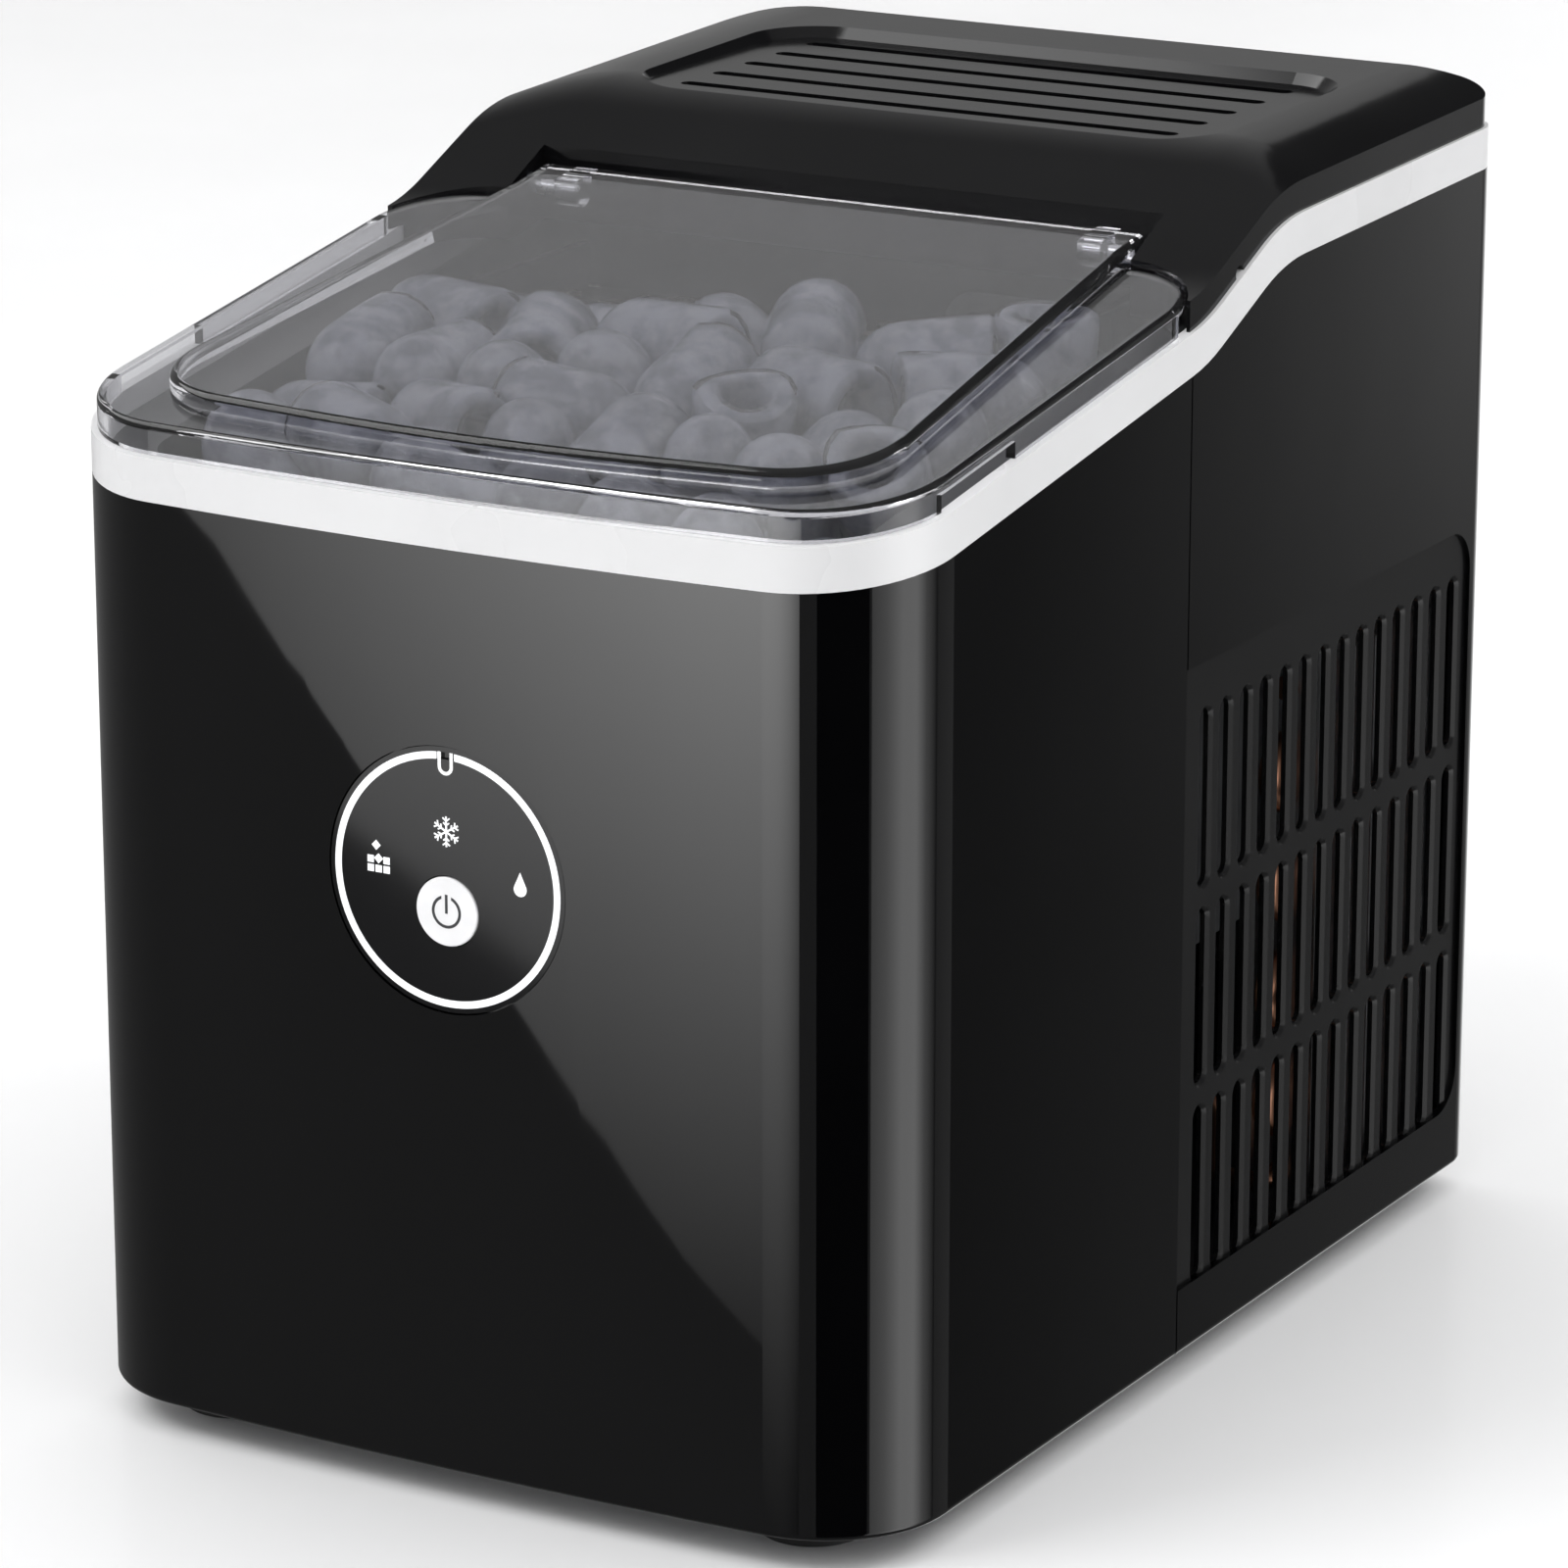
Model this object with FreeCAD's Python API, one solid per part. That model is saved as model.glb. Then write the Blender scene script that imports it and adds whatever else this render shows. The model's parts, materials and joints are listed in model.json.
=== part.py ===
"""Countertop bullet-ice maker, modelled as the separate pieces that it comes apart into.

Frame: millimetres, +Z up, origin under the middle of the appliance on the surface it stands on.
X runs to the right of someone facing the control dial, which looks along -Y; +Y is the rear.
"""
import FreeCAD, Part
import math
import os
from FreeCAD import Vector

# ---------------------------------------------------------------- overall sizes
WIDTH = 224.0
DEPTH = 324.0
FOOT_HEIGHT = 9.0          # underside of the base pan above the table
SKIRT_DROP = 1.0           # how far the casing reaches below the base pan
FRONT_BAND_Z = 229.9       # lower edge of the trim band at the front
LID_SLOPE = 0.1495         # rise of the band and lid per millimetre towards the rear
FRONT_RADIUS = 32.0
REAR_RADIUS = 12.0
FRONT_BOW = 2.0            # how far the middle of the front bulges past its ends

# ---------------------------------------------------------------- casing
WALL = 2.2
SEAM_FROM_REAR = 174.0     # front casing meets the rear casing this far from the back
SEAM_GAP = 0.6
SKIRT_ROUNDING = 1.8
BAND_HEIGHT = 10.4
BAND_WALL = 3.0
STEP_FROM_REAR = 166.0     # where the band starts to climb towards the cover
STEP_RUN = 40.0
STEP_RISE = 17.0
STEP_ROUNDING = 60.0
REAR_SLOPE = 0.0254        # rise of the band behind the step

# ---------------------------------------------------------------- rear cover
COVER_INSET = 1.0
COVER_WALL = 2.5
CURB = 7.5                 # height of the lid rim and of the cover's side above the band
CROWN_HALF = 84.0          # half width of the flat crown
COVER_SLOPE = 25.0         # degrees, front face of the cover
CROWN_RISE = 22.2          # crown above the lid's rim at the cover's foot
CROWN_TAIL_RISE = 1.7      # the crown climbs by this much to the rear
RECESS_HALF = 81.0
RECESS_START = 51.0        # behind the cover's foot
RECESS_LENGTH = 84.0
RECESS_DEPTH = 1.3
RECESS_FLARE = 1.0         # its walls lean outwards by this much per millimetre of height
RECESS_CORNER = 16.0
GROOVE_COUNT = 5
GROOVE_PITCH = 16.0
GROOVE_HALF = 70.0
GROOVE_WIDTH = 4.6
GROOVE_DEPTH = 1.1

# ---------------------------------------------------------------- lid
LID_INSET = 1.5
LID_WALL = 2.4
LID_EDGE = 1.5             # rounding of its upper edges
LID_REST_GAP = 0.3
LID_GAP = 0.8              # seam between the lid and the cover
LID_CORNER = 24.0
LID_REAR_BACKSET = 3.5     # rear edge of the lid's rim behind the cover's foot
PANEL_RISE = 3.5           # raised centre of the lid above its rim
PANEL_HALF = 98.0          # its half width at the front; it narrows to the tongue's
PANEL_MARGIN = 9.7         # rim in front of the raised centre
PANEL_BOW = 7.5            # how far its front edge bulges past its corners
PANEL_BOW_RADIUS = 600.0
PANEL_CORNER = 26.0
PANEL_EDGE = 2.2           # rounding of its upper edge
TONGUE_HALF = 85.0         # the raised centre ends in a tongue let into the cover
TONGUE_BEND = 60.0         # rounding where the panel's side turns into the tongue's
TONGUE_LENGTH = 14.0       # the tongue runs this far behind the rim
TONGUE_RELIEF = 4.0        # room for its end to swing
HINGE_BACKSET = 4.5        # hinge axis in front of the tongue's end
HINGE_DROP = 5.8           # hinge axis under the lid's raised face
PIN_RADIUS = 2.0
PIN_PLAY = 0.06
LUG_THICK = 6.0
LUG_INSET = 12.0           # hinge lugs stand this far inside the tongue's sides
LUG_RADIUS = 4.0
NOTCH_START = 31.0         # finger notch in the lid's rim, from the front
NOTCH_LENGTH = 34.0
NOTCH_HEIGHT = 4.0

# ---------------------------------------------------------------- side and rear vents
VENT_RECESS = 1.0
VENT_THICK = 2.2
VENT_BOTTOM = 16.0         # above the base pan's underside
VENT_TOP = 172.0
VENT_REAR_MARGIN = 13.0
VENT_CORNER = 11.0
SLOT_COLUMNS = 14
SLOT_PITCH = 10.8
SLOT_FIRST = 12.5          # first column behind the casing seam
SLOT_WIDTH = 5.6
SLOT_BEVEL = 0.9
SLOT_LENGTH = 44.0
ROW_PITCH = 50.0
ROW_FIRST = 37.5           # middle of the lowest row above the base pan's underside
ROWS = 3
REAR_VENT_HALF = 78.0
REAR_VENT_BOTTOM = 80.0    # above the base pan's underside
REAR_VENT_TOP = 190.0
REAR_VENT_CORNER = 8.0
REAR_VENT_COLUMNS = 13
REAR_VENT_FIRST = 110.0    # middle of its lower row
REAR_VENT_ROWS = 2

# ---------------------------------------------------------------- feet
FOOT_RADIUS = 14.0
FOOT_SIDE_MARGIN = 32.0
FOOT_END_MARGIN = 26.0
PIP_RADIUS = 3.0
PIP_OFFSET = 8.0
PIP_HEIGHT = 1.2
PAN_THICK = 2.5

# ---------------------------------------------------------------- control dial
DIAL_Z = 152.0
DIAL_RADIUS = 31.4
DIAL_PLAY = 0.3
DIAL_RECESS = 0.6
DIAL_THICK = 2.0
RING_RADIUS = 30.2
RING_STROKE = 1.7
BUTTON_RADIUS = 8.2
BUTTON_BELOW_DIAL = 7.4
BUTTON_PLAY = 0.3
BUTTON_PROUD = 0.45
BUTTON_TRAVEL = 1.2
FLANGE_OVERLAP = 5.0       # the dial's flange reaches this far behind the casing
FLANGE_THICK = 2.0
FLANGE_PLAY = 0.1          # between the flange and the inside of the bowed front
BOARD_BACKSET = 8.0        # control board behind the casing's front
BOARD_THICK = 1.6
INK = 0.12                 # thickness of printed marks

# ---------------------------------------------------------------- ice compartment
TUB_WALL = 3.0
TUB_SIDE_ROOM = 16.0       # casing's outside to the tub's outside
TUB_FRONT_ROOM = 14.0
TUB_FROM_REAR = 96.0
TUB_CORNER = 14.0
TUB_FLOOR_Z = 100.0
DECK_DROP = 6.0            # the deck lies this far under the band's upper edge
DECK_THICK = 2.5
FOAM_ROOM = 5.0
BASKET_PLAY = 5.0
BASKET_END_PLAY = 3.0
BASKET_WALL = 2.0
BASKET_CORNER = 10.0
BASKET_TO_TRAY = 42.0      # rear of the basket in front of the tray's axis
BASKET_FLOOR_Z = 132.0
BASKET_TOP_Z = 226.0
BASKET_BACK_Z = 194.0

# ---------------------------------------------------------------- ice-making mechanism
TRAY_FROM_REAR = 146.0
TRAY_AXIS_Z = 226.0
TRAY_RADIUS = 35.0
TRAY_WALL = 1.8
TRAY_HALF_ANGLE = 80.0
TRAY_LENGTH = 134.0
SHAFT_RADIUS = 3.0
SHAFT_PLAY = 0.05
END_GAP = 1.5              # end play between neighbouring parts on the shaft
CHEEK = 3.0
ARM_THICK = 3.0
SHOVEL_GAP = 2.7
SHOVEL_DEPTH = 4.5
SHOVEL_REST = 62.0         # degrees behind straight down
CHUTE_GAP = 2.0
CHUTE_WALL = 2.0
FINGER_RADIUS = 4.5
FINGER_CLEARANCE = 5.0     # finger tips above the bottom of the trough
FINGER_PITCH = 24.0
FINGER_ROW_OFFSET = 9.0
FINGERS_PER_ROW = (5, 4)
HEADER_BELOW = 10.0        # header's underside above the tray axis
HEADER_THICK = 8.0
MOTOR_LENGTH = 30.0
PUMP_X = 72.0
PUMP_BEHIND_TRAY = 14.0
PUMP_HALF = 18.0
PUMP_HEIGHT = 26.0
SPOUT_HEIGHT = 8.0
HOSE_OVER_TRAY = 3.5
HOSE_TO_SUCTION = 10.3     # the refrigerant tube passes this far under the hose

# ---------------------------------------------------------------- rear machinery
COMPRESSOR_RADIUS = 40.0
COMPRESSOR_HEIGHT = 112.0
COMPRESSOR_X = -40.0
MACHINE_FROM_REAR = 50.0
FAN_RADIUS = 28.0
FAN_Z = 96.0
FAN_BLADES = 7
CONDENSER_HALF = 34.0
CONDENSER_PASSES = 10
FIN_PITCH = 4.0
FIN_THICK = 0.6
TUBE_RADIUS = 3.2
PIPE_RADIUS = 2.4          # thin refrigerant tubes
DRIER_X = 24.0
VALVE_Z = 168.0
INLET_X = -82.0
INLET_Z = 40.0
INLET_HALF_X = 14.0
INLET_HALF_Z = 10.5
DRAIN_X = 30.0
DRAIN_Z = 31.0
DRAIN_BORE = 7.5

# ---------------------------------------------------------------- places worked out from the sizes
HALF = WIDTH / 2
FRONT_Y = -DEPTH / 2
REAR_Y = DEPTH / 2
SIDE_FRONT_Y = FRONT_Y + FRONT_BOW
CASE_Z = FOOT_HEIGHT - SKIRT_DROP
SEAM_Y = REAR_Y - SEAM_FROM_REAR
STEP_Y = REAR_Y - STEP_FROM_REAR
FOOT_Y = STEP_Y + 5.0      # foot of the cover's front face
RIM_FRONT_Z = FRONT_BAND_Z + BAND_HEIGHT + CURB
LID_REAR_Y = FOOT_Y + LID_REAR_BACKSET
TONGUE_END_Y = LID_REAR_Y + TONGUE_LENGTH
HINGE_Y = TONGUE_END_Y - HINGE_BACKSET


def on_slope(front_z, y):
    """Height at y of a plane that runs parallel to the lid."""
    return front_z + LID_SLOPE * (y - SIDE_FRONT_Y)


HINGE_Z = on_slope(RIM_FRONT_Z + PANEL_RISE, HINGE_Y) - HINGE_DROP
FLANGE_RADIUS = DIAL_RADIUS + FLANGE_OVERLAP
FLANGE_Y = FRONT_Y + WALL + FRONT_BOW * (FLANGE_RADIUS / (HALF - FRONT_RADIUS)) ** 2 + FLANGE_PLAY
DIAL_FACE_Y = FRONT_Y + DIAL_RECESS
BUTTON_FACE_Y = DIAL_FACE_Y - BUTTON_PROUD
BUTTON_Z = DIAL_Z - BUTTON_BELOW_DIAL
BOARD_Y = FRONT_Y + BOARD_BACKSET
TRAY_AXIS_Y = REAR_Y - TRAY_FROM_REAR
MACHINE_Y = REAR_Y - MACHINE_FROM_REAR
TUB_HALF = HALF - TUB_SIDE_ROOM
TUB_Y0 = FRONT_Y + TUB_FRONT_ROOM
TUB_Y1 = REAR_Y - TUB_FROM_REAR
DECK_Z = FRONT_BAND_Z + BAND_HEIGHT - DECK_DROP
TUB_IN = TUB_HALF - TUB_WALL
TUB_INNER_FLOOR = TUB_FLOOR_Z + TUB_WALL
BASKET_Y0 = TUB_Y0 + TUB_WALL + BASKET_END_PLAY
BASKET_Y1 = TRAY_AXIS_Y - BASKET_TO_TRAY
CHEEK_LEFT = -TUB_IN
TRAY_X0 = CHEEK_LEFT + CHEEK + 2 * END_GAP + ARM_THICK
TRAY_X1 = TRAY_X0 + TRAY_LENGTH
CHEEK_RIGHT = TRAY_X1 + 2 * END_GAP + ARM_THICK
TRAY_OUTER = TRAY_RADIUS + TRAY_WALL
SHOVEL_INNER = TRAY_OUTER + SHOVEL_GAP
SHOVEL_OUTER = SHOVEL_INNER + SHOVEL_DEPTH
CHUTE_INNER = SHOVEL_OUTER + CHUTE_GAP
HEADER_Z = TRAY_AXIS_Z + HEADER_BELOW
FINGER_LENGTH = TRAY_RADIUS + HEADER_BELOW - FINGER_CLEARANCE
PUMP_Y = TRAY_AXIS_Y + PUMP_BEHIND_TRAY
HOSE_X = PUMP_X + 8.0
HOSE_Y = PUMP_Y + 11.0
HOSE_TOP_Z = TRAY_AXIS_Z + TRAY_OUTER + HOSE_OVER_TRAY
PAN_TOP = FOOT_HEIGHT + PAN_THICK
DRIER_Y = MACHINE_Y + 6.0


# ---------------------------------------------------------------- building blocks
def box(x0, x1, y0, y1, z0, z1):
    return Part.makeBox(x1 - x0, y1 - y0, z1 - z0, Vector(x0, y0, z0))


def rod(x, y, z, radius, length, direction):
    return Part.makeCylinder(radius, length, Vector(x, y, z), Vector(*direction))


def tube(x, y, z, radius, bore, length, direction):
    return rod(x, y, z, radius, length, direction).cut(rod(x, y, z, bore, length, direction))


def rounded_edges(corners, place, closed=True):
    """Line and tangent-arc edges through (u, v, radius) corners; place turns (u, v) into a point."""
    count = len(corners)
    flat = [Vector(u, v, 0) for u, v, _ in corners]
    joints = []
    for i, (u, v, radius) in enumerate(corners):
        at = flat[i]
        if radius == 0 or (not closed and i in (0, count - 1)):
            joints.append((at, at, at))
            continue
        back = (flat[i - 1] - at).normalize()
        ahead = (flat[(i + 1) % count] - at).normalize()
        half_turn = (math.pi - back.getAngle(ahead)) / 2
        reach = radius * math.tan(half_turn)
        middle = (back + ahead).normalize()
        centre = at + middle * (radius / math.cos(half_turn))
        joints.append((at + back * reach, centre - middle * radius, at + ahead * reach))
    edges = []
    for i in range(count):
        start, mid, end = joints[i]
        if start.distanceToPoint(end) > 1e-6:
            arc = Part.Arc(place(start.x, start.y), place(mid.x, mid.y), place(end.x, end.y))
            edges.append(arc.toShape())
        if i < count - 1 or closed:
            follow = joints[(i + 1) % count][0]
            if end.distanceToPoint(follow) > 1e-6:
                edges.append(Part.makeLine(place(end.x, end.y), place(follow.x, follow.y)))
    return edges


def plan_face(corners, z=0.0):
    wire = Part.Wire(rounded_edges(corners, lambda u, v: Vector(u, v, z)))
    return Part.Face(wire)


def side_prism(corners, x0, x1):
    """A prism along X whose section is drawn as (y, z, radius) corners."""
    wire = Part.Wire(rounded_edges(corners, lambda u, v: Vector(x0, u, v)))
    return Part.Face(wire).extrude(Vector(x1 - x0, 0, 0))


def front_prism(corners, y0, y1):
    """A prism along Y whose section is drawn as (x, z, radius) corners."""
    wire = Part.Wire(rounded_edges(corners, lambda u, v: Vector(u, y0, v)))
    return Part.Face(wire).extrude(Vector(0, y1 - y0, 0))


def rectangle(u0, u1, v0, v1, radius):
    return [(u0, v0, radius), (u1, v0, radius), (u1, v1, radius), (u0, v1, radius)]


def footprint(inset, rear_y=REAR_Y, rear_radius=REAR_RADIUS):
    """Plan outline of the casing: bowed front, round corners, all moved inwards by inset."""
    half = HALF - inset
    corner = FRONT_RADIUS - inset
    chord = 2 * (HALF - FRONT_RADIUS)
    bow = (chord * chord / 4 + FRONT_BOW * FRONT_BOW) / (2 * FRONT_BOW)
    bow_centre = Vector(0, FRONT_Y + bow, 0)
    bow -= inset
    corner_x = half - corner
    corner_y = bow_centre.y - math.sqrt((bow - corner) ** 2 - corner_x ** 2)
    touch = (Vector(corner_x, corner_y, 0) - bow_centre).normalize() * bow + bow_centre
    heading = math.atan2(touch.y - corner_y, touch.x - corner_x)
    middle = Vector(corner_x + corner * math.cos(heading / 2), corner_y + corner * math.sin(heading / 2), 0)
    rear = rear_y - inset if rear_y == REAR_Y else rear_y
    back_radius = rear_radius - inset if rear_y == REAR_Y else rear_radius

    def mirrored(point):
        return Vector(-point.x, point.y, point.z)

    apex = Vector(0, bow_centre.y - bow, 0)
    side = Vector(half, corner_y, 0)
    rear_low = Vector(half, rear - back_radius, 0)
    spread = back_radius * (1 - math.sqrt(0.5))
    rear_mid = Vector(half - spread, rear - spread, 0)
    rear_in = Vector(half - back_radius, rear, 0)
    edges = [
        Part.Arc(mirrored(touch), apex, touch).toShape(),
        Part.Arc(touch, middle, side).toShape(),
        Part.makeLine(side, rear_low),
        Part.Arc(rear_low, rear_mid, rear_in).toShape(),
        Part.makeLine(rear_in, mirrored(rear_in)),
        Part.Arc(mirrored(rear_in), mirrored(rear_mid), mirrored(rear_low)).toShape(),
        Part.makeLine(mirrored(rear_low), mirrored(side)),
        Part.Arc(mirrored(side), mirrored(middle), mirrored(touch)).toShape(),
    ]
    return Part.Face(Part.Wire(edges))


def column(face, z0, z1):
    lifted = face.copy()
    lifted.translate(Vector(0, 0, z0))
    return lifted.extrude(Vector(0, 0, z1 - z0))


def band_line(lift):
    """(y, z, radius) corners of the band's lower edge, raised by lift, from front to rear."""
    front = SIDE_FRONT_Y - 20
    step_z = on_slope(FRONT_BAND_Z, STEP_Y)
    top_y = STEP_Y + STEP_RUN
    tail_y = REAR_Y + 20
    return [
        (front, on_slope(FRONT_BAND_Z, front) + lift, 0),
        (STEP_Y, step_z + lift, STEP_ROUNDING),
        (top_y, step_z + STEP_RISE + lift, STEP_ROUNDING),
        (tail_y, step_z + STEP_RISE + REAR_SLOPE * (tail_y - top_y) + lift, 0),
    ]


def under_band(lift):
    """Everything under the band's lower edge raised by lift."""
    line = band_line(lift)
    return side_prism([(line[0][0], -50, 0)] + line + [(line[-1][0], -50, 0)][::-1], -HALF - 20, HALF + 20)


def sloped_slab(low_z, high_z, y0=SIDE_FRONT_Y - 20, y1=REAR_Y):
    """Slab parallel to the lid between two heights given at the front."""
    return side_prism([
        (y0, on_slope(low_z, y0), 0),
        (y1, on_slope(low_z, y1), 0),
        (y1, on_slope(high_z, y1), 0),
        (y0, on_slope(high_z, y0), 0),
    ], -HALF - 20, HALF + 20)


def polar(radius, degrees):
    """Point on a circle round the tray axis, degrees from straight down, positive to the rear."""
    turn = math.radians(degrees)
    return TRAY_AXIS_Y + radius * math.sin(turn), TRAY_AXIS_Z - radius * math.cos(turn)


def curved_sheet(inner, outer, start, end, x0, x1):
    """Part of a pipe round the tray axis, between two angles."""
    middle = (start + end) / 2

    def at(radius, degrees):
        y, z = polar(radius, degrees)
        return Vector(x0, y, z)

    edges = [
        Part.Arc(at(inner, start), at(inner, middle), at(inner, end)).toShape(),
        Part.makeLine(at(inner, end), at(outer, end)),
        Part.Arc(at(outer, end), at(outer, middle), at(outer, start)).toShape(),
        Part.makeLine(at(outer, start), at(inner, start)),
    ]
    return Part.Face(Part.Wire(edges)).extrude(Vector(x1 - x0, 0, 0))


def bent_tube(points, radius, bend):
    """Round tube through points, with arcs of one bend radius at its corners."""
    edges = []
    start = Vector(*points[0])
    for i in range(1, len(points) - 1):
        at = Vector(*points[i])
        back = (start - at).normalize()
        ahead = (Vector(*points[i + 1]) - at).normalize()
        half_turn = (math.pi - back.getAngle(ahead)) / 2
        reach = bend * math.tan(half_turn)
        middle = (back + ahead).normalize()
        centre = at + middle * (bend / math.cos(half_turn))
        edges.append(Part.makeLine(start, at + back * reach))
        edges.append(Part.Arc(at + back * reach, centre - middle * bend, at + ahead * reach).toShape())
        start = at + ahead * reach
    edges.append(Part.makeLine(start, Vector(*points[-1])))
    path = Part.Wire(edges)
    first = Vector(*points[1]) - Vector(*points[0])
    section = Part.Wire(Part.makeCircle(radius, Vector(*points[0]), first))
    return path.makePipeShell([section], True, False)


# ---------------------------------------------------------------- casing
def casing_ring():
    outer = column(footprint(0), CASE_Z, RIM_FRONT_Z + 60)
    outer = outer.makeFillet(SKIRT_ROUNDING, [edge for edge in outer.Edges
                                              if abs(edge.BoundBox.ZMax - CASE_Z) < 0.01])
    inner = column(footprint(WALL), CASE_Z - 1, RIM_FRONT_Z + 61)
    return outer.cut(inner).common(under_band(0))


def make_front_shell():
    shell = casing_ring().common(box(-HALF - 1, HALF + 1, FRONT_Y - 1, SEAM_Y - SEAM_GAP / 2, 0, 400))
    return shell.cut(rod(0, FRONT_Y - 1, DIAL_Z, DIAL_RADIUS + DIAL_PLAY, 10, (0, 1, 0)))


def side_vent_outline():
    z0 = FOOT_HEIGHT + VENT_BOTTOM
    z1 = FOOT_HEIGHT + VENT_TOP
    rear = REAR_Y - VENT_REAR_MARGIN
    front = SEAM_Y + SEAM_GAP / 2
    return [(front, z0, 0), (rear, z0, VENT_CORNER), (rear, z1, VENT_CORNER), (front, z1, 0)]


def rear_vent_outline():
    return rectangle(-REAR_VENT_HALF, REAR_VENT_HALF, FOOT_HEIGHT + REAR_VENT_BOTTOM,
                     FOOT_HEIGHT + REAR_VENT_TOP, REAR_VENT_CORNER)


def make_rear_shell():
    shell = casing_ring().common(box(-HALF - 1, HALF + 1, SEAM_Y + SEAM_GAP / 2, REAR_Y + 1, 0, 400))
    shell = shell.cut(side_prism(side_vent_outline(), -HALF - 5, HALF + 5))
    shell = shell.cut(front_prism(rear_vent_outline(), REAR_Y - 5, REAR_Y + 5))
    inlet = rectangle(INLET_X - INLET_HALF_X, INLET_X + INLET_HALF_X,
                      INLET_Z - INLET_HALF_Z, INLET_Z + INLET_HALF_Z, 3.0)
    shell = shell.cut(front_prism(inlet, REAR_Y - 5, REAR_Y + 5))
    return shell.cut(rod(DRAIN_X, REAR_Y - 5, DRAIN_Z, DRAIN_BORE, 10, (0, 1, 0)))


def slot_outline(width, length, grow):
    """Upright slot with round ends, as (u, v, radius) corners about its own middle."""
    half = width / 2 + grow
    tall = length / 2 + grow
    return rectangle(-half, half, -tall, tall, half - 0.01)


def slot_cutter(width, length):
    """Cuts along -Z from z = 0: a bevelled mouth and then a straight slot."""
    mouth = Part.Wire(rounded_edges(slot_outline(width, length, SLOT_BEVEL), lambda u, v: Vector(u, v, 0)))
    throat = Part.Wire(rounded_edges(slot_outline(width, length, 0),
                                     lambda u, v: Vector(u, v, -SLOT_BEVEL)))
    bevel = Part.makeLoft([mouth, throat], True, True)
    through = Part.Face(throat).extrude(Vector(0, 0, -10))
    return bevel.fuse(through)


def make_side_vent(side):
    """Louvred panel set into one side; side is +1 on the right and -1 on the left."""
    face_x = HALF - VENT_RECESS
    panel = side_prism(side_vent_outline(), face_x - VENT_THICK, face_x)
    cutter = slot_cutter(SLOT_WIDTH, SLOT_LENGTH)
    cutter.rotate(Vector(0, 0, 0), Vector(1, 0, 0), 90)
    cutter.rotate(Vector(0, 0, 0), Vector(0, 0, 1), 90)
    slots = []
    for i in range(SLOT_COLUMNS):
        for j in range(ROWS):
            slot = cutter.copy()
            slot.translate(Vector(face_x, SEAM_Y + SLOT_FIRST + i * SLOT_PITCH,
                                  FOOT_HEIGHT + ROW_FIRST + j * ROW_PITCH))
            slots.append(slot)
    panel = panel.cut(Part.makeCompound(slots))
    return panel if side > 0 else panel.mirror(Vector(0, 0, 0), Vector(1, 0, 0))


def make_rear_vent():
    face_y = REAR_Y - VENT_RECESS
    panel = front_prism(rear_vent_outline(), face_y - VENT_THICK, face_y)
    cutter = slot_cutter(SLOT_WIDTH, SLOT_LENGTH)
    cutter.rotate(Vector(0, 0, 0), Vector(1, 0, 0), 90)
    cutter.rotate(Vector(0, 0, 0), Vector(0, 0, 1), 180)
    slots = []
    for i in range(REAR_VENT_COLUMNS):
        for j in range(REAR_VENT_ROWS):
            slot = cutter.copy()
            slot.translate(Vector((i - (REAR_VENT_COLUMNS - 1) / 2) * SLOT_PITCH, face_y,
                                  FOOT_HEIGHT + REAR_VENT_FIRST + j * ROW_PITCH))
            slots.append(slot)
    return panel.cut(Part.makeCompound(slots))


def make_base_pan():
    floor = column(footprint(WALL), FOOT_HEIGHT, PAN_TOP)
    rim = column(footprint(WALL), FOOT_HEIGHT, FOOT_HEIGHT + 10)
    return floor.fuse(rim.cut(column(footprint(WALL + 1.8), FOOT_HEIGHT - 1, FOOT_HEIGHT + 11)))


def make_foot(side, end):
    x = side * (HALF - FOOT_SIDE_MARGIN)
    y = SIDE_FRONT_Y + FOOT_END_MARGIN if end < 0 else REAR_Y - FOOT_END_MARGIN
    disc = Part.makeCone(FOOT_RADIUS - 1.5, FOOT_RADIUS, FOOT_HEIGHT - PIP_HEIGHT, Vector(x, y, PIP_HEIGHT))
    return disc.fuse(rod(x + PIP_OFFSET, y, 0, PIP_RADIUS, PIP_HEIGHT + 1, (0, 0, 1)))


def make_trim_band():
    ring = column(footprint(0), 150, 400).cut(column(footprint(BAND_WALL), 149, 401))
    return ring.common(under_band(BAND_HEIGHT)).cut(under_band(0))


# ---------------------------------------------------------------- rear cover
def roof_section(x, share):
    """Closed YZ wire of the upper surface at x; share goes from 0 on the crown to 1 at the side."""
    side = band_line(BAND_HEIGHT + CURB)
    foot_z = on_slope(RIM_FRONT_Z, FOOT_Y)
    run = CROWN_RISE / math.tan(math.radians(COVER_SLOPE))
    crown_y = FOOT_Y + run
    tail_y = side[3][0]
    tail_rise = CROWN_TAIL_RISE * (tail_y - crown_y) / (REAR_Y - crown_y)
    crown = [
        side[0],
        (FOOT_Y, foot_z, STEP_ROUNDING / 2),
        (crown_y, foot_z + CROWN_RISE, STEP_ROUNDING),
        (tail_y, foot_z + CROWN_RISE + tail_rise, 0),
    ]
    upper = [tuple(c + (s - c) * share for c, s in zip(a, b)) for a, b in zip(crown, side)]
    corners = [(upper[0][0], 150, 0)] + upper + [(tail_y, 150, 0)]
    return Part.Wire(rounded_edges(corners, lambda u, v: Vector(x, u, v)))


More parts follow.
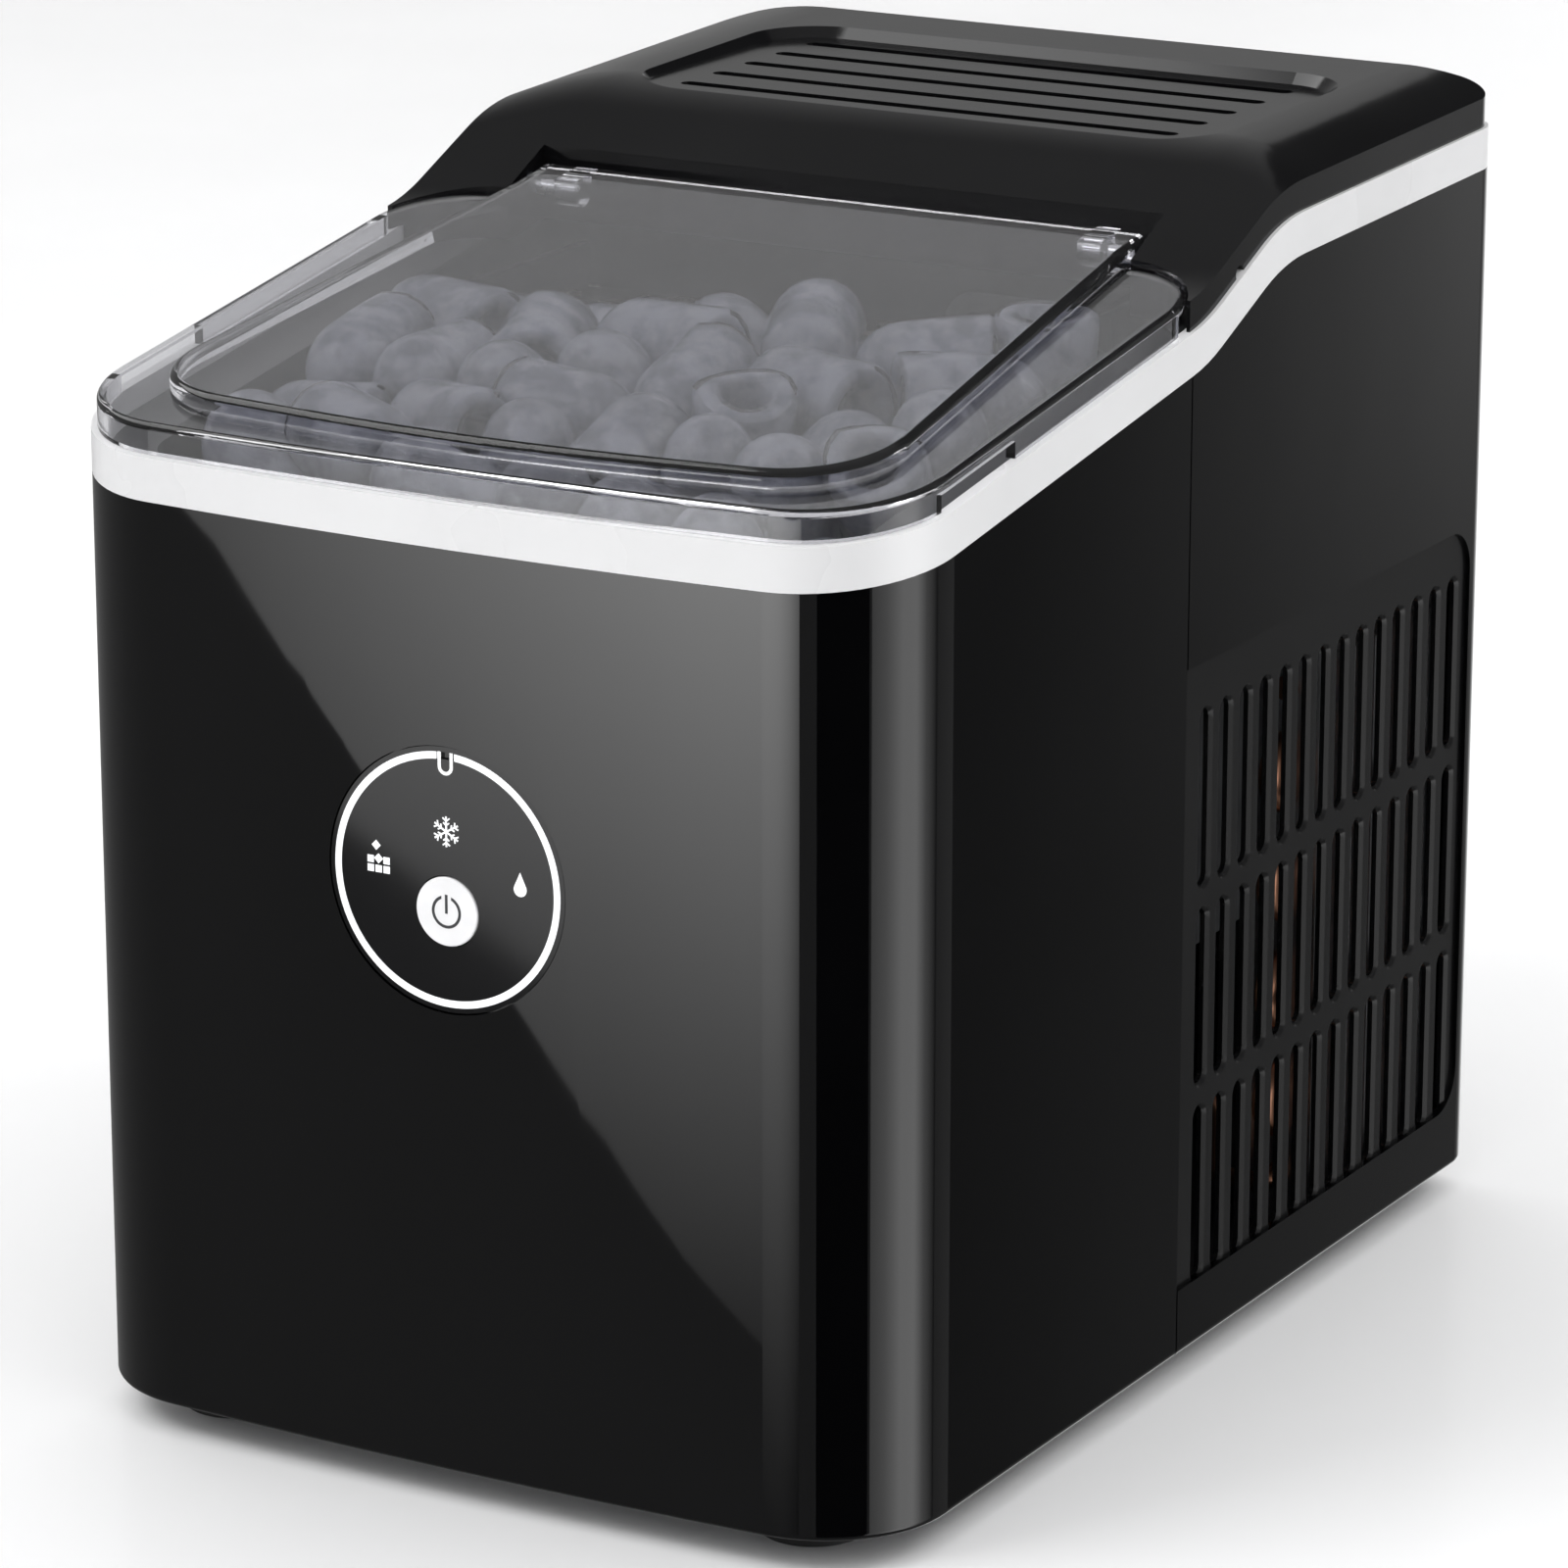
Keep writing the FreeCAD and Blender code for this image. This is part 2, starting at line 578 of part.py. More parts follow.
def roof(drop=0.0):
    """Solid under the upper surface: flat crown and parabolic shoulders on both sides."""
    reach = HALF - COVER_INSET - CROWN_HALF
    shares = (0.0, 0.12, 0.45, 1.0)
    offsets = [CROWN_HALF + reach * math.sqrt(share) for share in shares]
    right = Part.makeLoft([roof_section(x, share) for x, share in zip(offsets, shares)], True, False)
    left = right.mirror(Vector(0, 0, 0), Vector(1, 0, 0))
    crown = Part.Face(roof_section(-CROWN_HALF, 0.0)).extrude(Vector(2 * CROWN_HALF, 0, 0))
    solid = crown.fuse([right, left])
    solid.translate(Vector(0, 0, -drop))
    return solid


def lid_opening(grow, top=400.0, bottom=150.0):
    """Column over the lid and its tongue, grown outwards by grow."""
    rim = column(footprint(LID_INSET - grow, LID_REAR_Y + grow, LID_CORNER + grow), bottom, top)
    half = TONGUE_HALF + LID_GAP + grow
    return rim.fuse(box(-half, half, LID_REAR_Y - LID_CORNER, TONGUE_END_Y + TONGUE_RELIEF + grow - LID_GAP,
                        bottom, top))


def rounded_column(u_half, y0, y1, radius, z0, z1):
    return column(plan_face(rectangle(-u_half, u_half, y0, y1, radius)), z0, z1)


def recess_cutter(y, z, height):
    """Shallow basin with leaning walls; y is its front edge and z its floor."""
    wires = []
    for rise in (0, height):
        grow = RECESS_FLARE * rise
        outline = rectangle(-RECESS_HALF - grow, RECESS_HALF + grow, y - grow, y + RECESS_LENGTH + grow,
                            RECESS_CORNER + grow)
        wires.append(Part.Wire(rounded_edges(outline, lambda u, v: Vector(u, v, z + rise))))
    return Part.makeLoft(wires, True, True)


def make_top_cover():
    opening = lid_opening(LID_GAP)
    outside = column(footprint(COVER_INSET), 150, 400).cut(opening).common(roof())
    outside = outside.common(box(-HALF, HALF, STEP_Y - 8, REAR_Y, 150, 400))
    hollow = column(footprint(COVER_INSET + COVER_WALL), 150, 400)
    hollow = hollow.cut(lid_opening(LID_GAP + COVER_WALL)).common(roof(COVER_WALL))
    recess_y = FOOT_Y + RECESS_START
    top_z = on_slope(RIM_FRONT_Z, FOOT_Y) + CROWN_RISE
    hollow = hollow.cut(rounded_column(RECESS_HALF + COVER_WALL, recess_y - COVER_WALL,
                                       recess_y + RECESS_LENGTH + COVER_WALL, 14,
                                       top_z - RECESS_DEPTH - COVER_WALL - GROOVE_DEPTH, 400))
    cover = outside.cut(hollow)
    perimeter = under_band(BAND_HEIGHT).cut(column(footprint(BAND_WALL + 0.4), 100, 400))
    cover = cover.cut(perimeter)
    cover = cover.cut(under_band(BAND_HEIGHT).common(sloped_slab(0, FRONT_BAND_Z + BAND_HEIGHT - DECK_DROP)))
    cover = cover.cut(box(-HALF, HALF, TONGUE_END_Y + 12, REAR_Y, 100, 400).common(under_band(BAND_HEIGHT)))
    floor_z = top_z - RECESS_DEPTH
    cover = cover.cut(recess_cutter(recess_y, floor_z, RECESS_DEPTH + CROWN_TAIL_RISE))
    first = recess_y + (RECESS_LENGTH - GROOVE_PITCH * (GROOVE_COUNT - 1)) / 2
    grooves = []
    for i in range(GROOVE_COUNT):
        y = first + i * GROOVE_PITCH
        half = GROOVE_WIDTH / 2
        outline = rectangle(-GROOVE_HALF, GROOVE_HALF, y - half, y + half, half - 0.01)
        grooves.append(column(plan_face(outline), floor_z - GROOVE_DEPTH, floor_z + 5))
    cover = cover.cut(Part.makeCompound(grooves))
    return cover.cut(rod(-HALF, HINGE_Y, HINGE_Z, PIN_RADIUS + PIN_PLAY, WIDTH, (1, 0, 0)))


# ---------------------------------------------------------------- lid
def on_top(solid, front_z, limit_y):
    """Edges of a solid that lie in one plane parallel to the lid and in front of limit_y."""
    return [edge for edge in solid.Edges
            if edge.BoundBox.YMin < limit_y and all(
                abs(on_slope(front_z, point.y) - point.z) < 0.01 for point in edge.discretize(5))]


def panel_plan(inset, rear_y):
    """Outline of the lid's raised centre and its tongue, moved inwards by inset."""
    front_y = FRONT_Y + PANEL_MARGIN + inset
    front_half = PANEL_HALF - inset
    tongue_half = TONGUE_HALF - inset
    return plan_face([
        (-front_half, front_y + PANEL_BOW, PANEL_CORNER - inset),
        (0, front_y, PANEL_BOW_RADIUS - inset),
        (front_half, front_y + PANEL_BOW, PANEL_CORNER - inset),
        (tongue_half, LID_REAR_Y, TONGUE_BEND + inset),
        (tongue_half, rear_y, 0),
        (-tongue_half, rear_y, 0),
        (-tongue_half, LID_REAR_Y, TONGUE_BEND + inset),
    ])


def make_lid():
    rim_plan = footprint(LID_INSET, LID_REAR_Y, LID_CORNER)
    inner_plan = footprint(LID_INSET + LID_WALL, LID_REAR_Y - LID_WALL, LID_CORNER - LID_WALL)
    rest_z = FRONT_BAND_Z + BAND_HEIGHT + LID_REST_GAP
    panel = column(panel_plan(0, TONGUE_END_Y), 150, 400)
    inner = column(panel_plan(LID_WALL, TONGUE_END_Y + PIN_RADIUS), 150, 400)
    rim = column(rim_plan, 150, 400).common(sloped_slab(rest_z, RIM_FRONT_Z))
    rim = rim.makeFillet(LID_EDGE, on_top(rim, RIM_FRONT_Z, LID_REAR_Y - LID_CORNER + 1))
    rim = rim.cut(column(inner_plan, 150, 400).common(sloped_slab(150, RIM_FRONT_Z - LID_WALL)))
    behind = box(-HALF, HALF, LID_REAR_Y - LID_CORNER + 3, REAR_Y, 150, 400)
    rim = rim.cut(behind.common(sloped_slab(150, RIM_FRONT_Z - LID_WALL)))
    dome = panel.common(sloped_slab(RIM_FRONT_Z - LID_WALL, RIM_FRONT_Z + PANEL_RISE))
    dome = dome.makeFillet(PANEL_EDGE, on_top(dome, RIM_FRONT_Z + PANEL_RISE, TONGUE_END_Y - 0.1))
    hollow = inner.common(sloped_slab(150, RIM_FRONT_Z + PANEL_RISE - LID_WALL))
    lid = rim.fuse(dome).cut(hollow)
    for side in (-1, 1):
        x = side * (TONGUE_HALF - LUG_INSET)
        lug = box(x - LUG_THICK / 2, x + LUG_THICK / 2, HINGE_Y - LUG_RADIUS, HINGE_Y + LUG_RADIUS,
                  HINGE_Z, HINGE_Z + LUG_RADIUS)
        lug = lug.fuse(rod(x - LUG_THICK / 2, HINGE_Y, HINGE_Z, LUG_RADIUS, LUG_THICK, (1, 0, 0)))
        lid = lid.fuse(lug)
        notch_y = FRONT_Y + NOTCH_START
        edge = side * (HALF - LID_INSET)
        notch = box(edge - 5, edge + 5, notch_y, notch_y + NOTCH_LENGTH, 150, 400)
        lid = lid.cut(notch.common(sloped_slab(150, rest_z + NOTCH_HEIGHT)))
    lid = lid.cut(rod(-HALF, HINGE_Y, HINGE_Z, PIN_RADIUS, WIDTH, (1, 0, 0)))
    return lid.removeSplitter()


def make_hinge_pins():
    start = TONGUE_HALF - LUG_INSET - LUG_THICK / 2
    length = TONGUE_HALF + 2 * LID_GAP + COVER_WALL - start
    right = rod(start, HINGE_Y, HINGE_Z, PIN_RADIUS, length, (1, 0, 0))
    return Part.makeCompound([right, right.mirror(Vector(0, 0, 0), Vector(1, 0, 0))])


# ---------------------------------------------------------------- control dial
def make_dial():
    disc = rod(0, DIAL_FACE_Y, DIAL_Z, DIAL_RADIUS, DIAL_THICK + 2, (0, 1, 0))
    flange = tube(0, FLANGE_Y, DIAL_Z, FLANGE_RADIUS, DIAL_RADIUS - 2, FLANGE_THICK, (0, 1, 0))
    disc = disc.cut(rod(0, DIAL_FACE_Y + DIAL_THICK, DIAL_Z, DIAL_RADIUS - 2, 5, (0, 1, 0)))
    disc = disc.fuse(flange)
    disc = disc.cut(rod(0, DIAL_FACE_Y - 1, BUTTON_Z, BUTTON_RADIUS + BUTTON_PLAY, 10, (0, 1, 0)))
    groove = tube(0, DIAL_FACE_Y, DIAL_Z, RING_RADIUS, RING_RADIUS - RING_STROKE, 0.8, (0, 1, 0))
    return disc.cut(groove)


def make_dial_ring():
    ring = tube(0, DIAL_FACE_Y - INK, DIAL_Z, RING_RADIUS, RING_RADIUS - RING_STROKE, 0.8 + INK, (0, 1, 0))
    return ring.cut(box(-2.4, 2.4, DIAL_FACE_Y - 1, DIAL_FACE_Y + 2, DIAL_Z + 20, DIAL_Z + 40))


def make_notch_mark():
    """Small U-shaped mark that hangs in the gap at the top of the dial ring."""
    centre_z = DIAL_Z + RING_RADIUS - 3.4
    mark = tube(0, DIAL_FACE_Y - INK, centre_z, 2.0, 1.2, INK, (0, 1, 0))
    mark = mark.cut(box(-3, 3, DIAL_FACE_Y - 1, DIAL_FACE_Y + 1, centre_z, centre_z + 5))
    for side in (-1, 1):
        x = side * 1.6
        mark = mark.fuse(box(x - 0.4, x + 0.4, DIAL_FACE_Y - INK, DIAL_FACE_Y, centre_z, centre_z + 3.4))
    return mark


def ink_square(x, z, size, turn):
    half = size / 2
    square = box(x - half, x + half, DIAL_FACE_Y - INK, DIAL_FACE_Y, z - half, z + half)
    square.rotate(Vector(x, 0, z), Vector(0, 1, 0), turn)
    return square


def make_snowflake_icon():
    """Six arms, each with two pairs of side twigs."""
    reach = 3.6
    arms = []
    for i in range(6):
        arm = box(-0.22, 0.22, DIAL_FACE_Y - INK, DIAL_FACE_Y, 0, reach)
        for height, length in ((1.5, 1.0), (2.5, 1.2)):
            for side in (-1, 1):
                twig = box(-0.18, 0.18, DIAL_FACE_Y - INK, DIAL_FACE_Y, 0, length)
                twig.rotate(Vector(0, 0, 0), Vector(0, 1, 0), side * 52)
                twig.translate(Vector(0, 0, height))
                arm = arm.fuse(twig)
        arm.rotate(Vector(0, 0, 0), Vector(0, 1, 0), 60 * i)
        arms.append(arm)
    flake = arms[0].fuse(arms[1:])
    flake.translate(Vector(0, 0, DIAL_Z + 11.5))
    return flake


def make_ice_cubes_icon():
    """A stack of cubes with one tipped cube falling on it."""
    x = -18.4
    z = DIAL_Z
    size = 1.7
    pitch = 2.15
    cubes = [ink_square(x + i * pitch, z, size, 0) for i in (-1, 0, 1)]
    cubes += [ink_square(x + i * pitch, z + pitch, size, 0) for i in (-1, 1)]
    cubes.append(ink_square(x, z + pitch + 0.3, size, 45))
    cubes.append(ink_square(x - 0.6, z + 2.6 * pitch, size, 45))
    return Part.makeCompound(cubes)


def make_water_drop_icon():
    x = 19.6
    z = DIAL_Z + 0.8
    radius = 1.7
    tip = Vector(x, DIAL_FACE_Y - INK, z + 4.0)
    turn = math.acos(radius / 4.0)
    right = Vector(x + radius * math.sin(turn), tip.y, z + radius * math.cos(turn))
    left = Vector(2 * x - right.x, right.y, right.z)
    edges = [
        Part.makeLine(tip, right),
        Part.Arc(right, Vector(x, tip.y, z - radius), left).toShape(),
        Part.makeLine(left, tip),
    ]
    return Part.Face(Part.Wire(edges)).extrude(Vector(0, INK, 0))


def make_power_button():
    cap = rod(0, BUTTON_FACE_Y, BUTTON_Z, BUTTON_RADIUS, 3.2, (0, 1, 0))
    cap = cap.makeFillet(0.35, [edge for edge in cap.Edges
                                if edge.Length > 10 and abs(edge.CenterOfMass.y - BUTTON_FACE_Y) < 0.01])
    skirt = rod(0, BUTTON_FACE_Y + 3.2, BUTTON_Z, 3.0, BOARD_Y - BUTTON_FACE_Y - 3.2 - 1.6 - BUTTON_TRAVEL,
                (0, 1, 0))
    return cap.fuse(skirt)


def make_power_symbol():
    """Open ring with an upright bar through its gap, printed on the button."""
    y = BUTTON_FACE_Y - INK / 2
    ring = tube(0, y, BUTTON_Z, 3.9, 3.2, INK / 2, (0, 1, 0))
    ring = ring.cut(box(-1.3, 1.3, y - 1, y + 1, BUTTON_Z, BUTTON_Z + 6))
    bar = box(-0.35, 0.35, y, y + INK / 2, BUTTON_Z - 0.4, BUTTON_Z + 4.1)
    return Part.makeCompound([ring, bar])


def make_control_board():
    board = box(-30, 30, BOARD_Y, BOARD_Y + BOARD_THICK, DIAL_Z - 24, DIAL_Z + 24)
    for x, z in ((-18.4, DIAL_Z + 2), (0, DIAL_Z + 11.5), (19.6, DIAL_Z + 2)):
        board = board.fuse(rod(x, BOARD_Y - 2.5, z, 1.5, 2.5, (0, 1, 0)))
    plug = box(-12, 12, BOARD_Y + BOARD_THICK, BOARD_Y + BOARD_THICK + 3, DIAL_Z - 22, DIAL_Z - 15)
    return board.fuse(plug)


def make_board_posts():
    """Four posts that hold the control board off the dial's flange."""
    start = FLANGE_Y + FLANGE_THICK
    posts = []
    for x in (-24, 24):
        for z in (-20, 20):
            posts.append(rod(x, start, DIAL_Z + z, 2.2, BOARD_Y - start, (0, 1, 0)))
    return Part.makeCompound(posts)


def make_button_switch():
    body = box(-3, 3, BOARD_Y - 1.0, BOARD_Y, BUTTON_Z - 3, BUTTON_Z + 3)
    return body.fuse(rod(0, BOARD_Y - 1.4, BUTTON_Z, 1.6, 0.5, (0, 1, 0)))


# ---------------------------------------------------------------- ice compartment
def make_inner_tub():
    outer = rounded_column(TUB_HALF, TUB_Y0, TUB_Y1, TUB_CORNER, TUB_FLOOR_Z, 400)
    inner = rounded_column(TUB_IN, TUB_Y0 + TUB_WALL, TUB_Y1 - TUB_WALL, TUB_CORNER - TUB_WALL,
                           TUB_INNER_FLOOR, 400)
    deck = column(footprint(BAND_WALL), 150, 400).common(sloped_slab(DECK_Z - DECK_THICK, DECK_Z))
    deck = deck.common(box(-HALF, HALF, FRONT_Y, TUB_Y1, 0, 400))
    tub = outer.common(sloped_slab(0, DECK_Z)).fuse(deck).cut(inner)
    ledges = []
    for share in (0.25, 0.75):
        y = BASKET_Y0 + (BASKET_Y1 - BASKET_Y0) * share
        ledges.append(box(-TUB_IN + 20, TUB_IN - 20, y - 2, y + 2, TUB_INNER_FLOOR - 1,
                          BASKET_FLOOR_Z - 0.2))
    tub = tub.fuse(ledges)
    return tub.cut(rod(DRAIN_X, TUB_Y1 - 18, TUB_FLOOR_Z - 5, 4, 20, (0, 0, 1)))


def make_foam():
    """Insulation between the tub and the casing, with a pocket for the control board."""
    block = column(footprint(FOAM_ROOM), TUB_FLOOR_Z - 8, FRONT_BAND_Z - 8)
    block = block.common(box(-HALF, HALF, FRONT_Y, SEAM_Y - 4, 0, 400))
    tub = rounded_column(TUB_HALF, TUB_Y0, TUB_Y1, TUB_CORNER, TUB_FLOOR_Z, 400)
    pocket = box(-42, 42, FRONT_Y, TUB_Y0 + 1, DIAL_Z - 42, DIAL_Z + 42)
    return block.cut(tub).cut(pocket)


def make_basket():
    half = TUB_IN - BASKET_PLAY
    y0 = BASKET_Y0
    y1 = BASKET_Y1
    wall = BASKET_WALL
    outer = rounded_column(half, y0, y1, BASKET_CORNER, BASKET_FLOOR_Z, BASKET_TOP_Z)
    lip = rounded_column(half + 2, y0 - 2, y1, BASKET_CORNER + 1, BASKET_TOP_Z - 2, BASKET_TOP_Z)
    inner = rounded_column(half - wall, y0 + wall, y1 - wall, BASKET_CORNER - wall,
                           BASKET_FLOOR_Z + wall, BASKET_TOP_Z + 1)
    basket = outer.fuse(lip).cut(inner)
    basket = basket.cut(box(-half - 3, half + 3, y1 - 12, y1 + 3, BASKET_BACK_Z, BASKET_TOP_Z + 1))
    slots = []
    first = y0 + 16
    pitch = (y1 - 16 - first) / 3
    for i in range(7):
        for j in range(4):
            x = (i - 3) * 22.0
            y = first + j * pitch
            slots.append(column(plan_face(rectangle(x - 7, x + 7, y - 2.5, y + 2.5, 2.49)),
                                BASKET_FLOOR_Z - 1, BASKET_FLOOR_Z + wall + 1))
    middle = (y0 + y1) / 2
    for side in (-1, 1):
        grip = side_prism(rectangle(middle - 17, middle + 17, BASKET_TOP_Z - 22, BASKET_TOP_Z - 8, 6.0),
                          side * half - 4, side * half + 4)
        slots.append(grip)
    return basket.cut(Part.makeCompound(slots))


# ---------------------------------------------------------------- ice-making mechanism
def make_water_tray():
    trough = curved_sheet(TRAY_RADIUS, TRAY_OUTER, -TRAY_HALF_ANGLE, TRAY_HALF_ANGLE, TRAY_X0, TRAY_X1)
    ends = []
    for x in (TRAY_X0, TRAY_X1 - 2):
        disc = rod(x, TRAY_AXIS_Y, TRAY_AXIS_Z, TRAY_RADIUS + 0.5, 2, (1, 0, 0))
        disc = disc.cut(box(x - 1, x + 3, TRAY_AXIS_Y - 50, TRAY_AXIS_Y + 50,
                            TRAY_AXIS_Z - TRAY_RADIUS * math.cos(math.radians(TRAY_HALF_ANGLE)),
                            TRAY_AXIS_Z + 50))
        ends.append(disc.fuse(rod(x, TRAY_AXIS_Y, TRAY_AXIS_Z, 9, 2, (1, 0, 0))))
    tray = trough.fuse(ends)
    return tray.cut(rod(TRAY_X0 - 1, TRAY_AXIS_Y, TRAY_AXIS_Z, SHAFT_RADIUS, TRAY_LENGTH + 2, (1, 0, 0)))


def make_tray_pins():
    left = rod(CHEEK_LEFT + 0.3, TRAY_AXIS_Y, TRAY_AXIS_Z, SHAFT_RADIUS, TRAY_X0 + 2 - CHEEK_LEFT - 0.3,
               (1, 0, 0))
    right = rod(TRAY_X1 - 2, TRAY_AXIS_Y, TRAY_AXIS_Z, SHAFT_RADIUS, CHEEK_RIGHT + CHEEK + 8 - TRAY_X1 + 2,
                (1, 0, 0))
    return Part.makeCompound([left, right])


def make_ice_shovel():
    half_width = 7.0
    blade = curved_sheet(SHOVEL_INNER, SHOVEL_OUTER, SHOVEL_REST - half_width, SHOVEL_REST + half_width,
                         TRAY_X0 - END_GAP - ARM_THICK, TRAY_X1 + END_GAP + ARM_THICK)
    arms = []
    for x in (TRAY_X0 - END_GAP - ARM_THICK, TRAY_X1 + END_GAP):
        bar = box(x, x + ARM_THICK, TRAY_AXIS_Y - 4, TRAY_AXIS_Y + 4,
                  TRAY_AXIS_Z - SHOVEL_INNER - 1.5, TRAY_AXIS_Z)
        bar.rotate(Vector(x, TRAY_AXIS_Y, TRAY_AXIS_Z), Vector(1, 0, 0), SHOVEL_REST)
        arms.append(bar.fuse(rod(x, TRAY_AXIS_Y, TRAY_AXIS_Z, 7.5, ARM_THICK, (1, 0, 0))))
    shovel = blade.fuse(arms)
    return shovel.cut(rod(TRAY_X0 - 20, TRAY_AXIS_Y, TRAY_AXIS_Z, SHAFT_RADIUS + SHAFT_PLAY,
                          TRAY_LENGTH + 40, (1, 0, 0)))


def make_evaporator_frame():
    y0 = TRAY_AXIS_Y - 36
    y1 = TRAY_AXIS_Y + 34
    z0 = TRAY_AXIS_Z - 50
    z1 = TRAY_AXIS_Z + 24
    frame = box(CHEEK_LEFT, CHEEK_LEFT + CHEEK, y0, y1, z0, z1)
    frame = frame.fuse(box(CHEEK_RIGHT, CHEEK_RIGHT + CHEEK, y0, y1, z0, z1))
    frame = frame.cut(rod(CHEEK_LEFT - 1, TRAY_AXIS_Y, TRAY_AXIS_Z, SHAFT_RADIUS + SHAFT_PLAY,
                          WIDTH, (1, 0, 0)))
    bar = box(CHEEK_LEFT + CHEEK - 1, CHEEK_RIGHT + 1, TRAY_AXIS_Y - 24, TRAY_AXIS_Y - 14,
              HEADER_Z + 1, HEADER_Z + HEADER_THICK + 3)
    return frame.fuse(bar)


def make_evaporator():
    """Flat refrigerant header that the ice fingers hang from."""
    return box(TRAY_X0 + 6, TRAY_X1 - 6, TRAY_AXIS_Y - 14, TRAY_AXIS_Y + 14, HEADER_Z,
               HEADER_Z + HEADER_THICK)


def make_ice_fingers():
    """Round-tipped fingers brazed under the header, a row of five and a row of four."""
    middle = (TRAY_X0 + TRAY_X1) / 2
    z = HEADER_Z - FINGER_LENGTH + FINGER_RADIUS
    fingers = []
    for count, offset in zip(FINGERS_PER_ROW, (-FINGER_ROW_OFFSET, FINGER_ROW_OFFSET)):
        for i in range(count):
            x = middle + (i - (count - 1) / 2) * FINGER_PITCH
            y = TRAY_AXIS_Y + offset
            shaft = rod(x, y, z, FINGER_RADIUS, FINGER_LENGTH - FINGER_RADIUS, (0, 0, 1))
            tip = Part.makeSphere(FINGER_RADIUS, Vector(x, y, z))
            fingers.append(shaft.fuse(tip).removeSplitter())
    return Part.makeCompound(fingers)


def make_ice_chute():
    sheet = curved_sheet(CHUTE_INNER, CHUTE_INNER + CHUTE_WALL, -52, 60,
                         CHEEK_LEFT + CHEEK, CHEEK_RIGHT)
    drains = []
    for i in range(9):
        x = CHEEK_LEFT + CHEEK + 14 + i * 14
        drains.append(box(x - 2, x + 2, TRAY_AXIS_Y - 20, TRAY_AXIS_Y + 20,
                          TRAY_AXIS_Z - CHUTE_INNER - 4, TRAY_AXIS_Z - CHUTE_INNER + 9))
    return sheet.cut(Part.makeCompound(drains))


def make_tray_gearmotor():
    x = CHEEK_RIGHT + CHEEK
    case = side_prism(rectangle(TRAY_AXIS_Y - 15, TRAY_AXIS_Y + 15, TRAY_AXIS_Z - 18, TRAY_AXIS_Z + 18, 5),
                      x, x + MOTOR_LENGTH - 12)
    case = case.fuse(rod(x + MOTOR_LENGTH - 12, TRAY_AXIS_Y, TRAY_AXIS_Z, 13, 12, (1, 0, 0)))
    return case.cut(rod(x - 1, TRAY_AXIS_Y, TRAY_AXIS_Z, SHAFT_RADIUS + SHAFT_PLAY, 11, (1, 0, 0)))


def make_water_pump():
    z = TUB_INNER_FLOOR
    top = z + PUMP_HEIGHT
    body = box(PUMP_X - PUMP_HALF, PUMP_X + PUMP_HALF, PUMP_Y - PUMP_HALF, PUMP_Y + PUMP_HALF, z, top)
    body = body.makeFillet(4, [edge for edge in body.Edges
                               if abs(edge.BoundBox.ZLength - PUMP_HEIGHT) < 0.01])
    return body.fuse(rod(HOSE_X, HOSE_Y, top, 3.5, SPOUT_HEIGHT, (0, 0, 1)))


def make_pump_hose():
    """Silicone hose from the pump up behind the gearmotor and over to the water tray."""
    start_z = TUB_INNER_FLOOR + PUMP_HEIGHT + SPOUT_HEIGHT
    return bent_tube([(HOSE_X, HOSE_Y, start_z), (HOSE_X, HOSE_Y, HOSE_TOP_Z),
                      (TRAY_X1 - 8, HOSE_Y, HOSE_TOP_Z), (TRAY_X1 - 8, TRAY_AXIS_Y + 16, HOSE_TOP_Z)],
                     3.0, 7.0)


def make_level_sensor():
    """Float on a guide stem that tells when the reservoir runs dry."""
    x = -TUB_IN + 14
    y = TUB_Y1 - TUB_WALL - 14
    z = TUB_INNER_FLOOR
    stem = rod(x, y, z, 3, 34, (0, 0, 1))
    return stem.fuse(rod(x, y, z + 14, 8, 12, (0, 0, 1)))


def make_ice_full_sensors():
    eyes = []
    y = BASKET_Y1 + 0.5
    for side in (-1, 1):
        x = side * TUB_IN
        eye = box(min(x, x - side * 3), max(x, x - side * 3), y, y + 5, BASKET_TOP_Z - 20,
                  BASKET_TOP_Z - 8)
        eyes.append(eye)
    return Part.makeCompound(eyes)


# ---------------------------------------------------------------- rear machinery
MOUNT_HEIGHT = 8.0
COMPRESSOR_Z = PAN_TOP + MOUNT_HEIGHT
CONDENSER_X0 = HALF - 26.0
CONDENSER_X1 = HALF - 8.0
CONDENSER_Y0 = MACHINE_Y - CONDENSER_HALF
CONDENSER_Y1 = MACHINE_Y + CONDENSER_HALF
CONDENSER_Z0 = PAN_TOP + 6
CONDENSER_Z1 = FAN_Z + 64
MOUNT_HOLES = [(COMPRESSOR_X + dx, MACHINE_Y + dy) for dx in (-36, 36) for dy in (-34, 34)]


def make_compressor():
    """Hermetic can: a waisted barrel with domed ends, a service lid box and a foot plate."""
    base = COMPRESSOR_Z + 3
    can = rod(COMPRESSOR_X, MACHINE_Y, base, COMPRESSOR_RADIUS, COMPRESSOR_HEIGHT, (0, 0, 1))
    can = can.makeFillet(17, [edge for edge in can.Edges if edge.Length > 200
                              and edge.CenterOfMass.z > base + 1])
    seam = tube(COMPRESSOR_X, MACHINE_Y, base + 46, COMPRESSOR_RADIUS + 1.5, COMPRESSOR_RADIUS - 1, 4,
                (0, 0, 1))
    plate = column(plan_face(rectangle(COMPRESSOR_X - 42, COMPRESSOR_X + 42, MACHINE_Y - 40,
                                       MACHINE_Y + 40, 6)), COMPRESSOR_Z, COMPRESSOR_Z + 3)
    terminal = box(COMPRESSOR_X - 12, COMPRESSOR_X + 12, MACHINE_Y - COMPRESSOR_RADIUS - 7,
                   MACHINE_Y - 20, base + 52, base + 72)
    return can.fuse([seam, plate, terminal])


